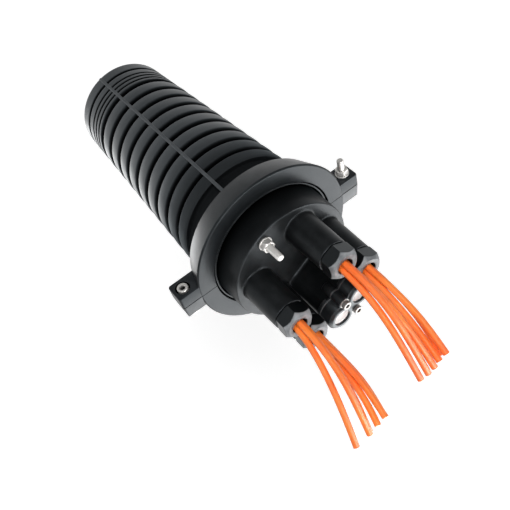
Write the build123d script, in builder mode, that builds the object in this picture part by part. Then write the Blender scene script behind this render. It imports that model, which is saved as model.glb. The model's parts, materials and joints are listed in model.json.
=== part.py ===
from build123d import *
from math import atan2, cos, degrees, pi, radians, sin, sqrt, tan
import os

# Fibre distribution closure: a corrugated dome, a base with cable ports and a two-piece clamp ring.
# Millimetres. The closure's axis is X, from the dome's closed end to the cable ports. The clamp's
# bolts stand along Z. The origin lies on the axis, in the plane where dome and base meet.

os.makedirs("parts", exist_ok=True)

# Clearances
running_gap = 0.06      # radial, between a turning fastener and its shank
seat_gap = 0.3          # between pieces that lie on each other with curved faces
plug_gap = 0.05         # radial, around what is pushed into a hole

# Clamp ring
clamp_width = 31.0
clamp_front_radius = 100.0
clamp_back_radius = 90.5
clamp_mouth_radius = 78.6
clamp_rim_chamfer = 2.0
clamp_edge_chamfer = 0.8
parting_gap = 0.8
groove_radius = 86.8        # floor of the vee groove
groove_flat = 15.0          # width of its floor
groove_slope = 3.0          # how far each flank leans, along the axis

# Ears of the clamp ring
ear_stand = 23.0            # how far an ear stands beyond the rim
ear_reach = clamp_front_radius + ear_stand
ear_length = 25.2           # along the axis
ear_front = 15.0
ear_top = 15.8
ear_bottom = 19.5
ear_draft = 6.0             # degrees, on the lower half
ear_corner = 3.0
ear_root = 2.0              # its foot's distance outside the groove's floor
ear_bolt_edge = 11.7        # from the ear's end to the middle of its bolt
ear_bolt_reach = ear_reach - ear_bolt_edge
spot_depth = 7.2            # sunk seat of the cap screw

# Fasteners, M8
m8_radius = 4.0             # over the free threads
m8_shank_radius = 3.7       # middle of the threads, through washers, plates and nuts
m8_hole_radius = 4.4
m8_head_radius = 6.5
m8_head_height = 8.0
m8_socket_flats = 6.0
m8_socket_depth = 4.2
m8_flats = 13.0
m8_nut_height = 6.5
m8_hex_head_height = 5.3
m8_washer_radius = 8.0
m8_washer_height = 1.6
m8_point = 0.8              # chamfer at a shank's end
m8_overhang = 2.0           # of the cap screw beyond its nut
spot_radius = 7.8
hanger_stud_height = 22.0   # how far the right bolt stands above its ear

# Dome
dome_length = 333.0
dome_radius = 79.0          # over the first band
dome_end_radius = 65.0      # over the last band
dome_neck_radius = 71.5
dome_neck_length = 43.5     # from the joint plane to the first band
dome_wall = 3.0
flange_radius = 86.4
first_groove_place = 63.5   # from the joint plane
band_pitch = 25.3
band_count = 9
band_groove_depth = 4.0
band_groove_floor = 2.4
band_shoulder = 2.8
fine_grooves_start = 276.6
fine_groove_count = 3
fine_groove_pitch = 8.2
fine_groove_depth = 1.8
fine_groove_width = 2.4
end_groove_place = 26.0     # from the closed end
end_groove_depth = 1.2
end_groove_width = 5.0
end_round = 8.0
end_rise = 2.5              # how far the end face is domed
rib_angle = 105.7           # around the axis, from the right ear
rib_count = 2
rib_width = 3.8
rib_height = 0.5            # above the bands
rib_root = 1.0              # how deep its foot lies in the wall
rib_end_share = 0.6         # of the end round that the rib follows

# Base
base_length = 48.3
base_root_radius = 73.6
base_face_radius = 73.1
base_inner_radius = 68.0
base_face_thickness = 5.0
base_edge_round = 1.5
base_lip_radius = 77.4         # of the raised lip inside the ring's mouth
base_lip_width = 2.3
base_lip_end = 14.0
base_recess_depth = 3.4        # of the recess between the lip and the skirt

# Seal ring in the base's flange
seal_groove_radius = 77.4   # middle of the groove
seal_groove_width = 5.6
seal_groove_depth = 3.4
seal_corner = 1.2

# Round ports and their glands
port_circle = 46.5
port_axis_angle = 120.0     # the ports lie symmetric about this direction
port_spreads = (53.3, -53.3, -107.0, 107.0)
port_root_radius = 19.3
port_end_radius = 18.2
port_end = 102.5
port_bore_radius = 13.0
spigot_radius = 15.0
spigot_length = 9.5
gland_flats = 33.0
gland_length = 17.8
gland_gap = 0.5             # between tube end and nut
gland_mouth_radius = 8.6
gland_mouth_flare = 1.2
gland_front_radius = 14.0   # where the nut's chamfer ends
gland_chamfer_length = 5.6
gland_back_chamfer = 1.5
gland_corner_spare = 1.0    # of the turned blank over the hexagon's corners
pressure_ring_length = 6.0
seal_plug_length = 15.0

# Oval port
oval_circle = 36.0
oval_half_spacing = 15.5
oval_radius = 15.6
oval_bore_radius = 10.6
oval_bore_waist = 6.0       # half the width of the bore between its two lobes
oval_end = 100.0
oval_flange_thickness = 4.0
oval_lobe_radius = 16.5
oval_waist = 11.0
oval_lug_reach = 12.8
oval_lug_radius = 6.4
oval_lug_set_back = 2.5     # of the lugs' faces behind the cap's face
oval_boss_length = 15.0
oval_seal_thickness = 1.5
oval_cap_length = 17.0
oval_cap_chamfer = 3.2
plug_radius = 11.6
plug_depth = 11.0
plug_set_back = 0.6
m6_radius = 3.0
m6_hole_radius = 3.3
m6_length = 25.0
m6_flange_radius = 6.0
m6_flange_thickness = 1.2
m6_head_radius = 5.0
m6_head_height = 6.0
m6_socket_flats = 5.0
m6_socket_depth = 3.0
m6_point = 0.6
m6_hole_spare = 1.0         # depth of the blind hole beyond the screw

# Earth stud
earth_angle = 114.5
earth_circle = 60.0
earth_stud_reach = 26.9     # beyond the face

# Cables
cable_diameter = 7.0
cable_hole_gap = 0.05
cable_angles = (210, 90, 330)  # of a gland's three cables around its middle
bend_share = 0.45           # of the shorter run beside a corner that its bend takes up

# Trays and their carrier inside the dome
bracket_thickness = 2.0
bracket_foot_x = 36.0
foot_inner_radius = 57.0
foot_outer_radius = 66.0
foot_bar_height = 6.0
foot_screw_circle = 61.5
foot_screw_angles = (37.0, 152.0, 270.0)
boss_radius = 5.0
m4_radius = 2.0
m4_head_radius = 3.5
m4_head_height = 2.6
m4_length = 9.0
arm_level = -12.0           # its upper face
arm_length = 270.0
arm_half_width = 43.0
arm_lip = 7.0
arm_corner = 4.0
arm_lip_set_back = 6.0      # at each end of the arm
tray_count = 4
tray_pitch = 8.6
tray_length = 200.0
tray_half_width = 40.0
tray_height = 8.0
tray_wall = 1.6
tray_corner = 18.0
coil_island_place = 50.0    # behind the tray's middle
coil_island_length = 30.0
coil_island_width = 36.0
comb_place = 40.0           # in front of the tray's middle
comb_length = 40.0
comb_pitch = 7.0
comb_wall = 1.2
comb_wall_count = 7
tray_tongue = 1.5           # between the tray and its hinge barrel
tray_back = 12.0            # place of the trays' hinged end along the axis
hinge_pin_radius = 1.6
hinge_barrel_radius = 3.0
hinge_barrel_length = 30.0
cheek_thickness = 3.0
cheek_length = 7.0
cheek_gap = 1.0             # beside the hinge barrels
cover_thickness = 1.6
basket_length = 180.0
basket_half_width = 33.0
basket_depth = 32.0
basket_wall = 1.8
basket_corner = 12.0
anchor_bar_size = (5.0, 80.0, 10.0)
anchor_bar_set_back = 10.0  # behind the bracket's foot


def around(radius, angle):
    """The Y and Z of a place at a radius and an angle (degrees) around the closure's axis."""
    return radius * cos(radians(angle)), radius * sin(radians(angle))


def keep(piece, name):
    """Names a finished piece and writes it."""
    piece.part.label = name
    export_step(piece.part, f"parts/{name}.step")


clamp_half = clamp_width / 2
groove_half = groove_flat / 2
ear_middle = ear_front - ear_length / 2
half_gap = parting_gap / 2
cross = Plane.YZ
ring_axis = Axis.X


# Dome: neck and flange at its mouth, corrugated wall, closed end, one rib on each side
def band_radius(x):
    """Radius over the dome's bands at a place along the axis."""
    share = (-x - dome_neck_length) / (dome_length - end_round - dome_neck_length)
    return dome_radius + (dome_end_radius - dome_radius) * share


dome_outline = [(0, flange_radius), (-groove_half + 2 * seat_gap, flange_radius),
                (-groove_half - groove_slope + 2 * seat_gap, clamp_mouth_radius - seat_gap),
                (-groove_half - groove_slope + 2 * seat_gap, dome_neck_radius),
                (-dome_neck_length, dome_neck_radius), (-dome_neck_length, dome_radius - band_shoulder / 2),
                (-dome_neck_length - band_shoulder, band_radius(-dome_neck_length - band_shoulder))]
floor_half = band_groove_floor / 2
for band in range(band_count):
    middle = -first_groove_place - band * band_pitch
    for offset, depth in ((floor_half + band_shoulder, 0), (floor_half, band_groove_depth),
                          (-floor_half, band_groove_depth), (-floor_half - band_shoulder, 0)):
        dome_outline.append((middle + offset, band_radius(middle + offset) - depth))
for fine in range(fine_groove_count):
    middle = -fine_grooves_start - fine * fine_groove_pitch
    for offset, depth in ((fine_groove_width / 2, 0), (0, fine_groove_depth), (-fine_groove_width / 2, 0)):
        dome_outline.append((middle + offset, band_radius(middle + offset) - depth))
end_groove = -dome_length + end_groove_place
for offset, depth in ((end_groove_width / 2, 0), (0, end_groove_depth), (-end_groove_width / 2, 0)):
    dome_outline.append((end_groove + offset, band_radius(end_groove + offset) - depth))
end_start = -dome_length + end_rise + end_round
dome_outline.append((end_start, dome_end_radius))
inner_mouth = dome_neck_radius - dome_wall
inner_end = dome_end_radius - band_groove_depth - dome_wall

with BuildPart() as dome_shell:
    with BuildSketch(Plane.XZ):
        with BuildLine():
            Polyline(*dome_outline)
            shoulder = RadiusArc((end_start, dome_end_radius),
                                 (end_start - end_round, dome_end_radius - end_round), -end_round)
            Line(shoulder @ 1, (-dome_length, 0))
            Polyline((-dome_length, 0), (-dome_length + dome_wall, 0),
                     (end_start - end_round + dome_wall, inner_end - end_round),
                     (end_start, inner_end), (-dome_neck_length, inner_mouth), (0, inner_mouth),
                     (0, flange_radius))
        make_face()
    revolve(axis=ring_axis)
    rib_front = -clamp_half - seat_gap
    rib_end = end_start - rib_end_share * end_round
    rib_end_drop = (1 - sqrt(1 - rib_end_share ** 2)) * end_round
    for number in range(rib_count):
        angle = rib_angle + number * 360 / rib_count
        out_y, out_z = around(1, angle)
        rib_plane = Plane(origin=(0, 0, 0), x_dir=(1, 0, 0), z_dir=(0, -out_z, out_y))
        with BuildSketch(rib_plane):
            with BuildLine():
                Polyline((rib_front, dome_neck_radius - rib_root),
                         (rib_front, band_radius(rib_front) + rib_height),
                         (end_start, dome_end_radius + rib_height),
                         (rib_end, dome_end_radius - rib_end_drop + rib_height),
                         (rib_end, dome_end_radius - rib_end_share * end_round),
                         (end_start, dome_end_radius - band_groove_depth - rib_root),
                         (-dome_neck_length, dome_neck_radius - rib_root), close=True)
            make_face()
        extrude(amount=rib_width / 2, both=True)
keep(dome_shell, "dome_shell")

# Base: flange, skirt, face and port tubes in one moulding
face_x = base_length
face_back = base_length - base_face_thickness
port_places = [around(port_circle, port_axis_angle + spread) for spread in port_spreads]
oval_centre = around(oval_circle, port_axis_angle + 180)
oval_turn = port_axis_angle - 90
earth_place = around(earth_circle, earth_angle)
foot_screw_places = [around(foot_screw_circle, angle) for angle in foot_screw_angles]
port_taper = degrees(atan2(port_root_radius - port_end_radius, port_end - face_x))
spigot_end = port_end + spigot_length


def oval_place(along, across):
    """Y and Z of a place in the oval port's own directions: along its long way, across it."""
    turn = radians(oval_turn)
    return (oval_centre[0] + along * cos(turn) - across * sin(turn),
            oval_centre[1] + along * sin(turn) + across * cos(turn))


lobe_places = [oval_place(side * oval_half_spacing, 0) for side in (-1, 1)]
lug_places = [oval_place(0, side * oval_lug_reach) for side in (1, -1)]
seal_groove_low = seal_groove_radius - seal_groove_width / 2
seal_groove_high = seal_groove_radius + seal_groove_width / 2
cap_back = oval_end + oval_seal_thickness
cap_front = cap_back + oval_cap_length
plug_back = cap_front - plug_depth
lug_face = cap_front - oval_lug_set_back
screw_hole_floor = lug_face - m6_length - m6_hole_spare


def oval_bore():
    """Outline of the oval port's passage: two round lobes joined by a narrow waist."""
    with Locations(*lobe_places):
        Circle(oval_bore_radius)
    with Locations(oval_centre):
        Rectangle(2 * oval_half_spacing, 2 * oval_bore_waist, rotation=oval_turn)


def waisted_outline():
    """Outline of the cap's front: two lobes and the waist between them."""
    with Locations(*lobe_places):
        Circle(oval_lobe_radius)
    with Locations(oval_centre):
        Rectangle(2 * oval_half_spacing, 2 * oval_waist, rotation=oval_turn)


def lobed_outline():
    """Outline of the oval port's flange, seal and cap: the waisted outline and a lug on each side."""
    waisted_outline()
    with Locations(oval_centre):
        Rectangle(2 * oval_lug_radius, 2 * oval_lug_reach, rotation=oval_turn)
    with Locations(*lug_places):
        Circle(oval_lug_radius)


with BuildPart() as base_housing:
    with BuildSketch(Plane.XZ):
        with BuildLine():
            Polyline((0, base_inner_radius), (0, seal_groove_low), (seal_groove_depth, seal_groove_low),
                     (seal_groove_depth, seal_groove_high), (0, seal_groove_high), (0, flange_radius),
                     (groove_half - 2 * seat_gap, flange_radius),
                     (groove_half + groove_slope - 2 * seat_gap, clamp_mouth_radius - seat_gap),
                     (groove_half + groove_slope - 2 * seat_gap, base_lip_radius),
                     (base_lip_end, base_lip_radius), (base_lip_end, base_lip_radius - base_lip_width),
                     (base_lip_end - base_recess_depth, base_lip_radius - base_lip_width),
                     (base_lip_end - base_recess_depth, base_root_radius),
                     (face_x - base_edge_round, base_face_radius))
            RadiusArc((face_x - base_edge_round, base_face_radius),
                      (face_x, base_face_radius - base_edge_round), base_edge_round)
            Polyline((face_x, base_face_radius - base_edge_round), (face_x, 0), (face_back, 0),
                     (face_back, base_inner_radius), (0, base_inner_radius))
        make_face()
    revolve(axis=ring_axis)
    with BuildSketch(cross.offset(face_x)):
        with Locations(*port_places):
            Circle(port_root_radius)
    extrude(amount=port_end - face_x, taper=port_taper)
    with BuildSketch(cross.offset(port_end)):
        with Locations(*port_places):
            Circle(spigot_radius)
    extrude(amount=spigot_length)
    with BuildSketch(cross.offset(face_x)):
        with Locations(oval_centre):
            SlotCenterToCenter(2 * oval_half_spacing, 2 * oval_radius, rotation=oval_turn)
    extrude(amount=oval_end - face_x)
    with BuildSketch(cross.offset(oval_end - oval_flange_thickness)):
        lobed_outline()
    extrude(amount=oval_flange_thickness)
    with BuildSketch(cross.offset(oval_end - oval_boss_length)):
        with Locations(*lug_places):
            Circle(oval_lug_radius)
    extrude(amount=oval_boss_length)
    with BuildSketch(cross.offset(bracket_foot_x + bracket_thickness)):
        with Locations(*foot_screw_places):
            Circle(boss_radius)
    extrude(amount=face_back - bracket_foot_x - bracket_thickness)
    with BuildSketch(cross.offset(face_back)):
        with Locations(*port_places):
            Circle(port_bore_radius)
    extrude(amount=spigot_end - face_back, mode=Mode.SUBTRACT)
    with BuildSketch(cross.offset(face_back)):
        oval_bore()
    extrude(amount=oval_end - face_back, mode=Mode.SUBTRACT)
    with BuildSketch(cross.offset(screw_hole_floor)):
        with Locations(*lug_places):
            Circle(m6_radius + running_gap)
    extrude(amount=oval_end - screw_hole_floor, mode=Mode.SUBTRACT)
    with BuildSketch(cross.offset(face_back)):
        with Locations(earth_place):
            Circle(m8_shank_radius + plug_gap)
    extrude(amount=base_face_thickness, mode=Mode.SUBTRACT)
    with BuildSketch(cross.offset(bracket_foot_x + bracket_thickness)):
        with Locations(*foot_screw_places):
            Circle(m4_radius + plug_gap)
    extrude(amount=face_back - bracket_foot_x - bracket_thickness, mode=Mode.SUBTRACT)
keep(base_housing, "base_housing")

# Seal ring: fills its groove from the floor to the dome's flange
with BuildPart() as flange_seal:
    with BuildSketch(Plane.XZ):
        with Locations((seal_groove_depth / 2, seal_groove_radius)):
            RectangleRounded(seal_groove_depth, seal_groove_width - 2 * seat_gap, seal_corner)
    revolve(axis=ring_axis)
keep(flange_seal, "flange_seal")

# Clamp ring: a rim that widens to the front, with a vee groove inside and two ears, in two halves
clamp_section = [(-clamp_half, clamp_mouth_radius), (-clamp_half, clamp_back_radius - clamp_edge_chamfer),
                 (-clamp_half + clamp_edge_chamfer, clamp_back_radius),
                 (clamp_half - clamp_rim_chamfer, clamp_front_radius),
                 (clamp_half, clamp_front_radius - clamp_rim_chamfer),
                 (clamp_half, clamp_mouth_radius + clamp_edge_chamfer),
                 (clamp_half - clamp_edge_chamfer, clamp_mouth_radius),
                 (groove_half + groove_slope, clamp_mouth_radius), (groove_half, groove_radius),
                 (-groove_half, groove_radius), (-groove_half - groove_slope, clamp_mouth_radius)]
ear_inner = groove_radius + ear_root
ear_span = ear_reach - ear_inner
ear_places = [(ear_middle, side * (ear_inner + ear_span / 2)) for side in (-1, 1)]
bolt_places = [(ear_middle, side * ear_bolt_reach) for side in (-1, 1)]

with BuildPart() as clamp_upper:
    with BuildSketch(Plane.XZ):
        with BuildLine():
            Polyline(*clamp_section, close=True)
        make_face()
    revolve(axis=ring_axis)
    split(bisect_by=Plane.XY.offset(half_gap), keep=Keep.TOP)
    with BuildSketch(Plane.XY.offset(half_gap)):
        with Locations(*ear_places):
            RectangleRounded(ear_length, ear_span, ear_corner)
    extrude(amount=ear_top - half_gap)
    with BuildSketch(Plane.XY.offset(half_gap)):
        with Locations(*bolt_places):
            Circle(m8_hole_radius)
    extrude(amount=ear_top, mode=Mode.SUBTRACT)
    with BuildSketch(Plane.XY.offset(ear_top - spot_depth)):
        with Locations(bolt_places[0]):
            Circle(spot_radius)
    extrude(amount=spot_depth, mode=Mode.SUBTRACT)
keep(clamp_upper, "clamp_upper")

with BuildPart() as clamp_lower:
    with BuildSketch(Plane.XZ):
        with BuildLine():
            Polyline(*clamp_section, close=True)
        make_face()
    revolve(axis=ring_axis)
    split(bisect_by=Plane.XY.offset(-half_gap), keep=Keep.BOTTOM)
    with BuildSketch(Plane.XY.offset(-half_gap)):
        with Locations(*ear_places):
            RectangleRounded(ear_length, ear_span, ear_corner)
    extrude(amount=half_gap - ear_bottom, taper=ear_draft)
    with BuildSketch(Plane.XY.offset(-half_gap)):
        with Locations(*bolt_places):
            Circle(m8_hole_radius)
    extrude(amount=-ear_bottom, mode=Mode.SUBTRACT)
keep(clamp_lower, "clamp_lower")

# Left cap screw, from above, with its nut under the ear
left_x, left_y = bolt_places[0]
screw_seat = ear_top - spot_depth
screw_end = -ear_bottom - m8_nut_height - m8_overhang
with BuildPart() as clamp_screw:
    with BuildSketch(Plane.XY.offset(screw_end)):
        with Locations((left_x, left_y)):
            Circle(m8_shank_radius)
    extrude(amount=screw_seat - screw_end)
    chamfer(clamp_screw.faces().sort_by(Axis.Z)[0].edges(), m8_point)
    with BuildSketch(Plane.XY.offset(screw_seat)):
        with Locations((left_x, left_y)):
            Circle(m8_head_radius)
    extrude(amount=m8_head_height)
    chamfer(clamp_screw.faces().sort_by(Axis.Z)[-1].edges(), m8_point)
    with BuildSketch(Plane.XY.offset(screw_seat + m8_head_height - m8_socket_depth)):
        with Locations((left_x, left_y)):
            RegularPolygon(m8_socket_flats / 2, 6, major_radius=False)
    extrude(amount=m8_socket_depth, mode=Mode.SUBTRACT)
keep(clamp_screw, "clamp_screw")

with BuildPart() as clamp_screw_nut:
    with BuildSketch(Plane.XY.offset(-ear_bottom - m8_nut_height)):
        with Locations((left_x, left_y)):
            RegularPolygon(m8_flats / 2, 6, major_radius=False)
            Circle(m8_shank_radius + running_gap, mode=Mode.SUBTRACT)
    extrude(amount=m8_nut_height)
keep(clamp_screw_nut, "clamp_screw_nut")

# Right bolt, from below, standing up through its washer and nut
right_x, right_y = bolt_places[1]
hanger_top = ear_top + hanger_stud_height
hanger_nut_top = ear_top + m8_washer_height + m8_nut_height + seat_gap
hanger_head_bottom = -ear_bottom - m8_hex_head_height
with BuildPart() as hanger_bolt:
    with BuildSketch(Plane.XY.offset(hanger_head_bottom)):
        with Locations((right_x, right_y)):
            RegularPolygon(m8_flats / 2, 6, major_radius=False)
    extrude(amount=m8_hex_head_height)
    with BuildSketch(Plane.XY.offset(-ear_bottom)):
        with Locations((right_x, right_y)):
            Circle(m8_shank_radius)
    extrude(amount=ear_bottom + hanger_nut_top)
    with BuildSketch(Plane.XY.offset(hanger_nut_top)):
        with Locations((right_x, right_y)):
            Circle(m8_radius)
    extrude(amount=hanger_top - hanger_nut_top)
    chamfer(hanger_bolt.faces().sort_by(Axis.Z)[-1].edges(), m8_point)
keep(hanger_bolt, "hanger_bolt")

with BuildPart() as hanger_washer:
    with BuildSketch(Plane.XY.offset(ear_top)):
        with Locations((right_x, right_y)):
            Circle(m8_washer_radius)
            Circle(m8_hole_radius, mode=Mode.SUBTRACT)
    extrude(amount=m8_washer_height)
keep(hanger_washer, "hanger_washer")

with BuildPart() as hanger_nut:
    with BuildSketch(Plane.XY.offset(ear_top + m8_washer_height)):
        with Locations((right_x, right_y)):
            RegularPolygon(m8_flats / 2, 6, major_radius=False)
            Circle(m8_shank_radius + running_gap, mode=Mode.SUBTRACT)
    extrude(amount=m8_nut_height)
keep(hanger_nut, "hanger_nut")

# Earth stud with its head inside the base, washer and nut outside
earth_nut_front = face_x + m8_washer_height + m8_nut_height + seat_gap
with BuildPart() as earth_stud:
    with BuildSketch(cross.offset(face_back - m8_hex_head_height + seat_gap)):
        with Locations(earth_place):
            RegularPolygon(m8_flats / 2, 6, major_radius=False)
    extrude(amount=m8_hex_head_height - seat_gap)
    with BuildSketch(cross.offset(face_back)):
        with Locations(earth_place):
            Circle(m8_shank_radius)
    extrude(amount=earth_nut_front - face_back)
    with BuildSketch(cross.offset(earth_nut_front)):
        with Locations(earth_place):
            Circle(m8_radius)
    extrude(amount=face_x + earth_stud_reach - earth_nut_front)
    chamfer(earth_stud.faces().sort_by(Axis.X)[-1].edges(), m8_point)
keep(earth_stud, "earth_stud")

with BuildPart() as earth_washer:
    with BuildSketch(cross.offset(face_x)):
        with Locations(earth_place):
            Circle(m8_washer_radius)
            Circle(m8_hole_radius, mode=Mode.SUBTRACT)
    extrude(amount=m8_washer_height)
keep(earth_washer, "earth_washer")

with BuildPart() as earth_nut:
    with BuildSketch(cross.offset(face_x + m8_washer_height)):
        with Locations(earth_place):
            RegularPolygon(m8_flats / 2, 6, major_radius=False)
            Circle(m8_shank_radius + running_gap, mode=Mode.SUBTRACT)
    extrude(amount=m8_nut_height)
keep(earth_nut, "earth_nut")

# Glands: in each round port a rubber seal, a pressure ring and a hexagon nut with a chamfered front
gland_back = port_end + gland_gap
gland_front = gland_back + gland_length
gland_shoulder = spigot_end + gland_gap
ring_front = gland_shoulder - seat_gap
ring_back = ring_front - pressure_ring_length
seal_back = ring_back - seal_plug_length
cable_radius = cable_diameter / 2
bundle_radius = (cable_radius + 2 * cable_hole_gap) / cos(radians(30))
cable_offsets = [around(bundle_radius, angle) for angle in cable_angles]
gland_corner = gland_flats / 2 / cos(radians(30)) + gland_corner_spare

for number, (port_y, port_z) in enumerate(port_places, start=1):
    port_axis = Axis((0, port_y, port_z), (1, 0, 0))
    port_plane = Plane(origin=(0, port_y, port_z), x_dir=(1, 0, 0), z_dir=(0, -1, 0))

    with BuildPart() as gland_nut:
        with BuildSketch(cross.offset(gland_back)):
            with Locations((port_y, port_z)):
                RegularPolygon(gland_flats / 2, 6, major_radius=False)
        extrude(amount=gland_length)
        with BuildSketch(port_plane):
            with BuildLine():
                Polyline((gland_back, 0), (gland_back, gland_flats / 2),
                         (gland_back + gland_back_chamfer, gland_corner),
                         (gland_front - gland_chamfer_length, gland_corner),
                         (gland_front, gland_front_radius), (gland_front, 0), close=True)
            make_face()
        revolve(axis=port_axis, mode=Mode.INTERSECT)
        with BuildSketch(port_plane):
            with BuildLine():
                Polyline((gland_back, 0), (gland_back, spigot_radius + running_gap),
                         (gland_shoulder, spigot_radius + running_gap), (gland_shoulder, gland_mouth_radius),
                         (gland_front - gland_mouth_flare, gland_mouth_radius),
                         (gland_front, gland_mouth_radius + gland_mouth_flare), (gland_front, 0), close=True)
            make_face()
        revolve(axis=port_axis, mode=Mode.SUBTRACT)
    keep(gland_nut, f"gland_nut_{number}")

    with BuildPart() as pressure_ring:
        with BuildSketch(cross.offset(ring_back)):
            with Locations((port_y, port_z)):
                Circle(port_bore_radius - plug_gap)
                Circle(gland_mouth_radius, mode=Mode.SUBTRACT)
        extrude(amount=pressure_ring_length)
    keep(pressure_ring, f"gland_ring_{number}")

    with BuildPart() as gland_seal:
        with BuildSketch(cross.offset(seal_back)):
            with Locations((port_y, port_z)):
                Circle(port_bore_radius - plug_gap)
            with Locations(*[(port_y + dy, port_z + dz) for dy, dz in cable_offsets]):
                Circle(cable_radius + cable_hole_gap, mode=Mode.SUBTRACT)
        extrude(amount=seal_plug_length)
    keep(gland_seal, f"gland_seal_{number}")

# Oval port: seal, lobed cap, two blanking plugs and two screws that hold the cap on the port's end
with BuildPart() as oval_seal:
    with BuildSketch(cross.offset(oval_end)):
        lobed_outline()
        with Locations(*lug_places):
            Circle(m6_hole_radius, mode=Mode.SUBTRACT)
    extrude(amount=oval_seal_thickness)
    with BuildSketch(cross.offset(oval_end)):
        oval_bore()
    extrude(amount=oval_seal_thickness, mode=Mode.SUBTRACT)
keep(oval_seal, "oval_seal")

with BuildPart() as oval_cap:
    with BuildSketch(cross.offset(cap_back)):
        waisted_outline()
    extrude(amount=oval_cap_length)
    chamfer(oval_cap.faces().sort_by(Axis.X)[-1].edges(), oval_cap_chamfer)
    with BuildSketch(cross.offset(cap_back)):
        lobed_outline()
    extrude(amount=lug_face - cap_back)
    with BuildSketch(cross.offset(lug_face)):
        with Locations(*lug_places):
            Circle(m6_flange_radius + seat_gap)
    extrude(amount=oval_lug_set_back, mode=Mode.SUBTRACT)
    with BuildSketch(cross.offset(cap_back)):
        with Locations(*lug_places):
            Circle(m6_hole_radius)
    extrude(amount=oval_cap_length, mode=Mode.SUBTRACT)
    with BuildSketch(cross.offset(cap_back)):
        with Locations(*lobe_places):
            Circle(oval_bore_radius)
    extrude(amount=oval_cap_length, mode=Mode.SUBTRACT)
    with BuildSketch(cross.offset(plug_back)):
        with Locations(*lobe_places):
            Circle(plug_radius + plug_gap)
    extrude(amount=plug_depth, mode=Mode.SUBTRACT)
keep(oval_cap, "oval_cap")

for number, place in enumerate(lobe_places, start=1):
    with BuildPart() as oval_plug:
        with BuildSketch(cross.offset(cap_back)):
            with Locations(place):
                Circle(oval_bore_radius - plug_gap)
        extrude(amount=oval_cap_length - plug_depth)
        with BuildSketch(cross.offset(plug_back)):
            with Locations(place):
                Circle(plug_radius)
        extrude(amount=plug_depth - plug_set_back)
    keep(oval_plug, f"oval_plug_{number}")

for number, place in enumerate(lug_places, start=1):
    with BuildPart() as oval_screw:
        with BuildSketch(cross.offset(lug_face - m6_length)):
            with Locations(place):
                Circle(m6_radius)
        extrude(amount=m6_length)
        with BuildSketch(cross.offset(lug_face)):
            with Locations(place):
                Circle(m6_flange_radius)
        extrude(amount=m6_flange_thickness)
        with BuildSketch(cross.offset(lug_face)):
            with Locations(place):
                Circle(m6_head_radius)
        extrude(amount=m6_head_height)
        chamfer(oval_screw.faces().sort_by(Axis.X)[-1].edges(), m6_point)
        with BuildSketch(cross.offset(lug_face + m6_head_height - m6_socket_depth)):
            with Locations(place):
                RegularPolygon(m6_socket_flats / 2, 6, major_radius=False)
        extrude(amount=m6_socket_depth, mode=Mode.SUBTRACT)
    keep(oval_screw, f"oval_screw_{number}")

# Tray carrier: a ring foot on the base's bosses and a folded arm along the dome
arm_end = bracket_foot_x - arm_length
arm_middle = bracket_foot_x - arm_length / 2
arm_bottom = arm_level - bracket_thickness
cheek_inner = hinge_barrel_length / 2 + cheek_gap
cheek_places = [(tray_back, side * (cheek_inner + cheek_thickness / 2)) for side in (-1, 1)]
hinge_levels = [arm_level + tray_pitch * (number + 0.5) for number in range(tray_count)]
cheek_top = hinge_levels[-1] + tray_pitch / 2

with BuildPart() as tray_bracket:
    with BuildSketch(cross.offset(bracket_foot_x)):
        Circle(foot_outer_radius)
        Circle(foot_inner_radius, mode=Mode.SUBTRACT)
        with Locations((0, arm_level - foot_bar_height / 2)):
            Rectangle(2 * foot_inner_radius, foot_bar_height)
        with Locations(*foot_screw_places):
            Circle(m4_radius + plug_gap, mode=Mode.SUBTRACT)
    extrude(amount=bracket_thickness)
    with BuildSketch(Plane.XY.offset(arm_bottom)):
        with Locations((arm_middle, 0)):
            RectangleRounded(arm_length, 2 * arm_half_width, arm_corner)
    extrude(amount=bracket_thickness)
    with BuildSketch(Plane.XY.offset(arm_level)):
        for side in (-1, 1):
            with Locations((arm_middle, side * (arm_half_width - bracket_thickness / 2))):
                Rectangle(arm_length - 2 * arm_lip_set_back, bracket_thickness)
    extrude(amount=arm_lip - bracket_thickness)
    with BuildSketch(Plane.XY.offset(arm_level)):
        with Locations(*cheek_places):
            Rectangle(cheek_length, cheek_thickness)
    extrude(amount=cheek_top - arm_level)
    for level in hinge_levels:
        with BuildSketch(Plane.XZ.offset(-hinge_barrel_length)):
            with Locations((tray_back, level)):
                Circle(hinge_pin_radius + plug_gap)
        extrude(amount=2 * hinge_barrel_length, mode=Mode.SUBTRACT)
keep(tray_bracket, "tray_bracket")

with BuildPart() as bracket_screws:
    with BuildSketch(cross.offset(bracket_foot_x - m4_head_height)):
        with Locations(*foot_screw_places):
            Circle(m4_head_radius)
    extrude(amount=m4_head_height)
    with BuildSketch(cross.offset(bracket_foot_x)):
        with Locations(*foot_screw_places):
            Circle(m4_radius)
    extrude(amount=face_back - bracket_foot_x)
keep(bracket_screws, "bracket_screws")

with BuildPart() as anchor_bar:
    with Locations((bracket_foot_x - anchor_bar_set_back, 0, arm_bottom - anchor_bar_size[2] / 2)):
        Box(*anchor_bar_size)
keep(anchor_bar, "anchor_bar")

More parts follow.
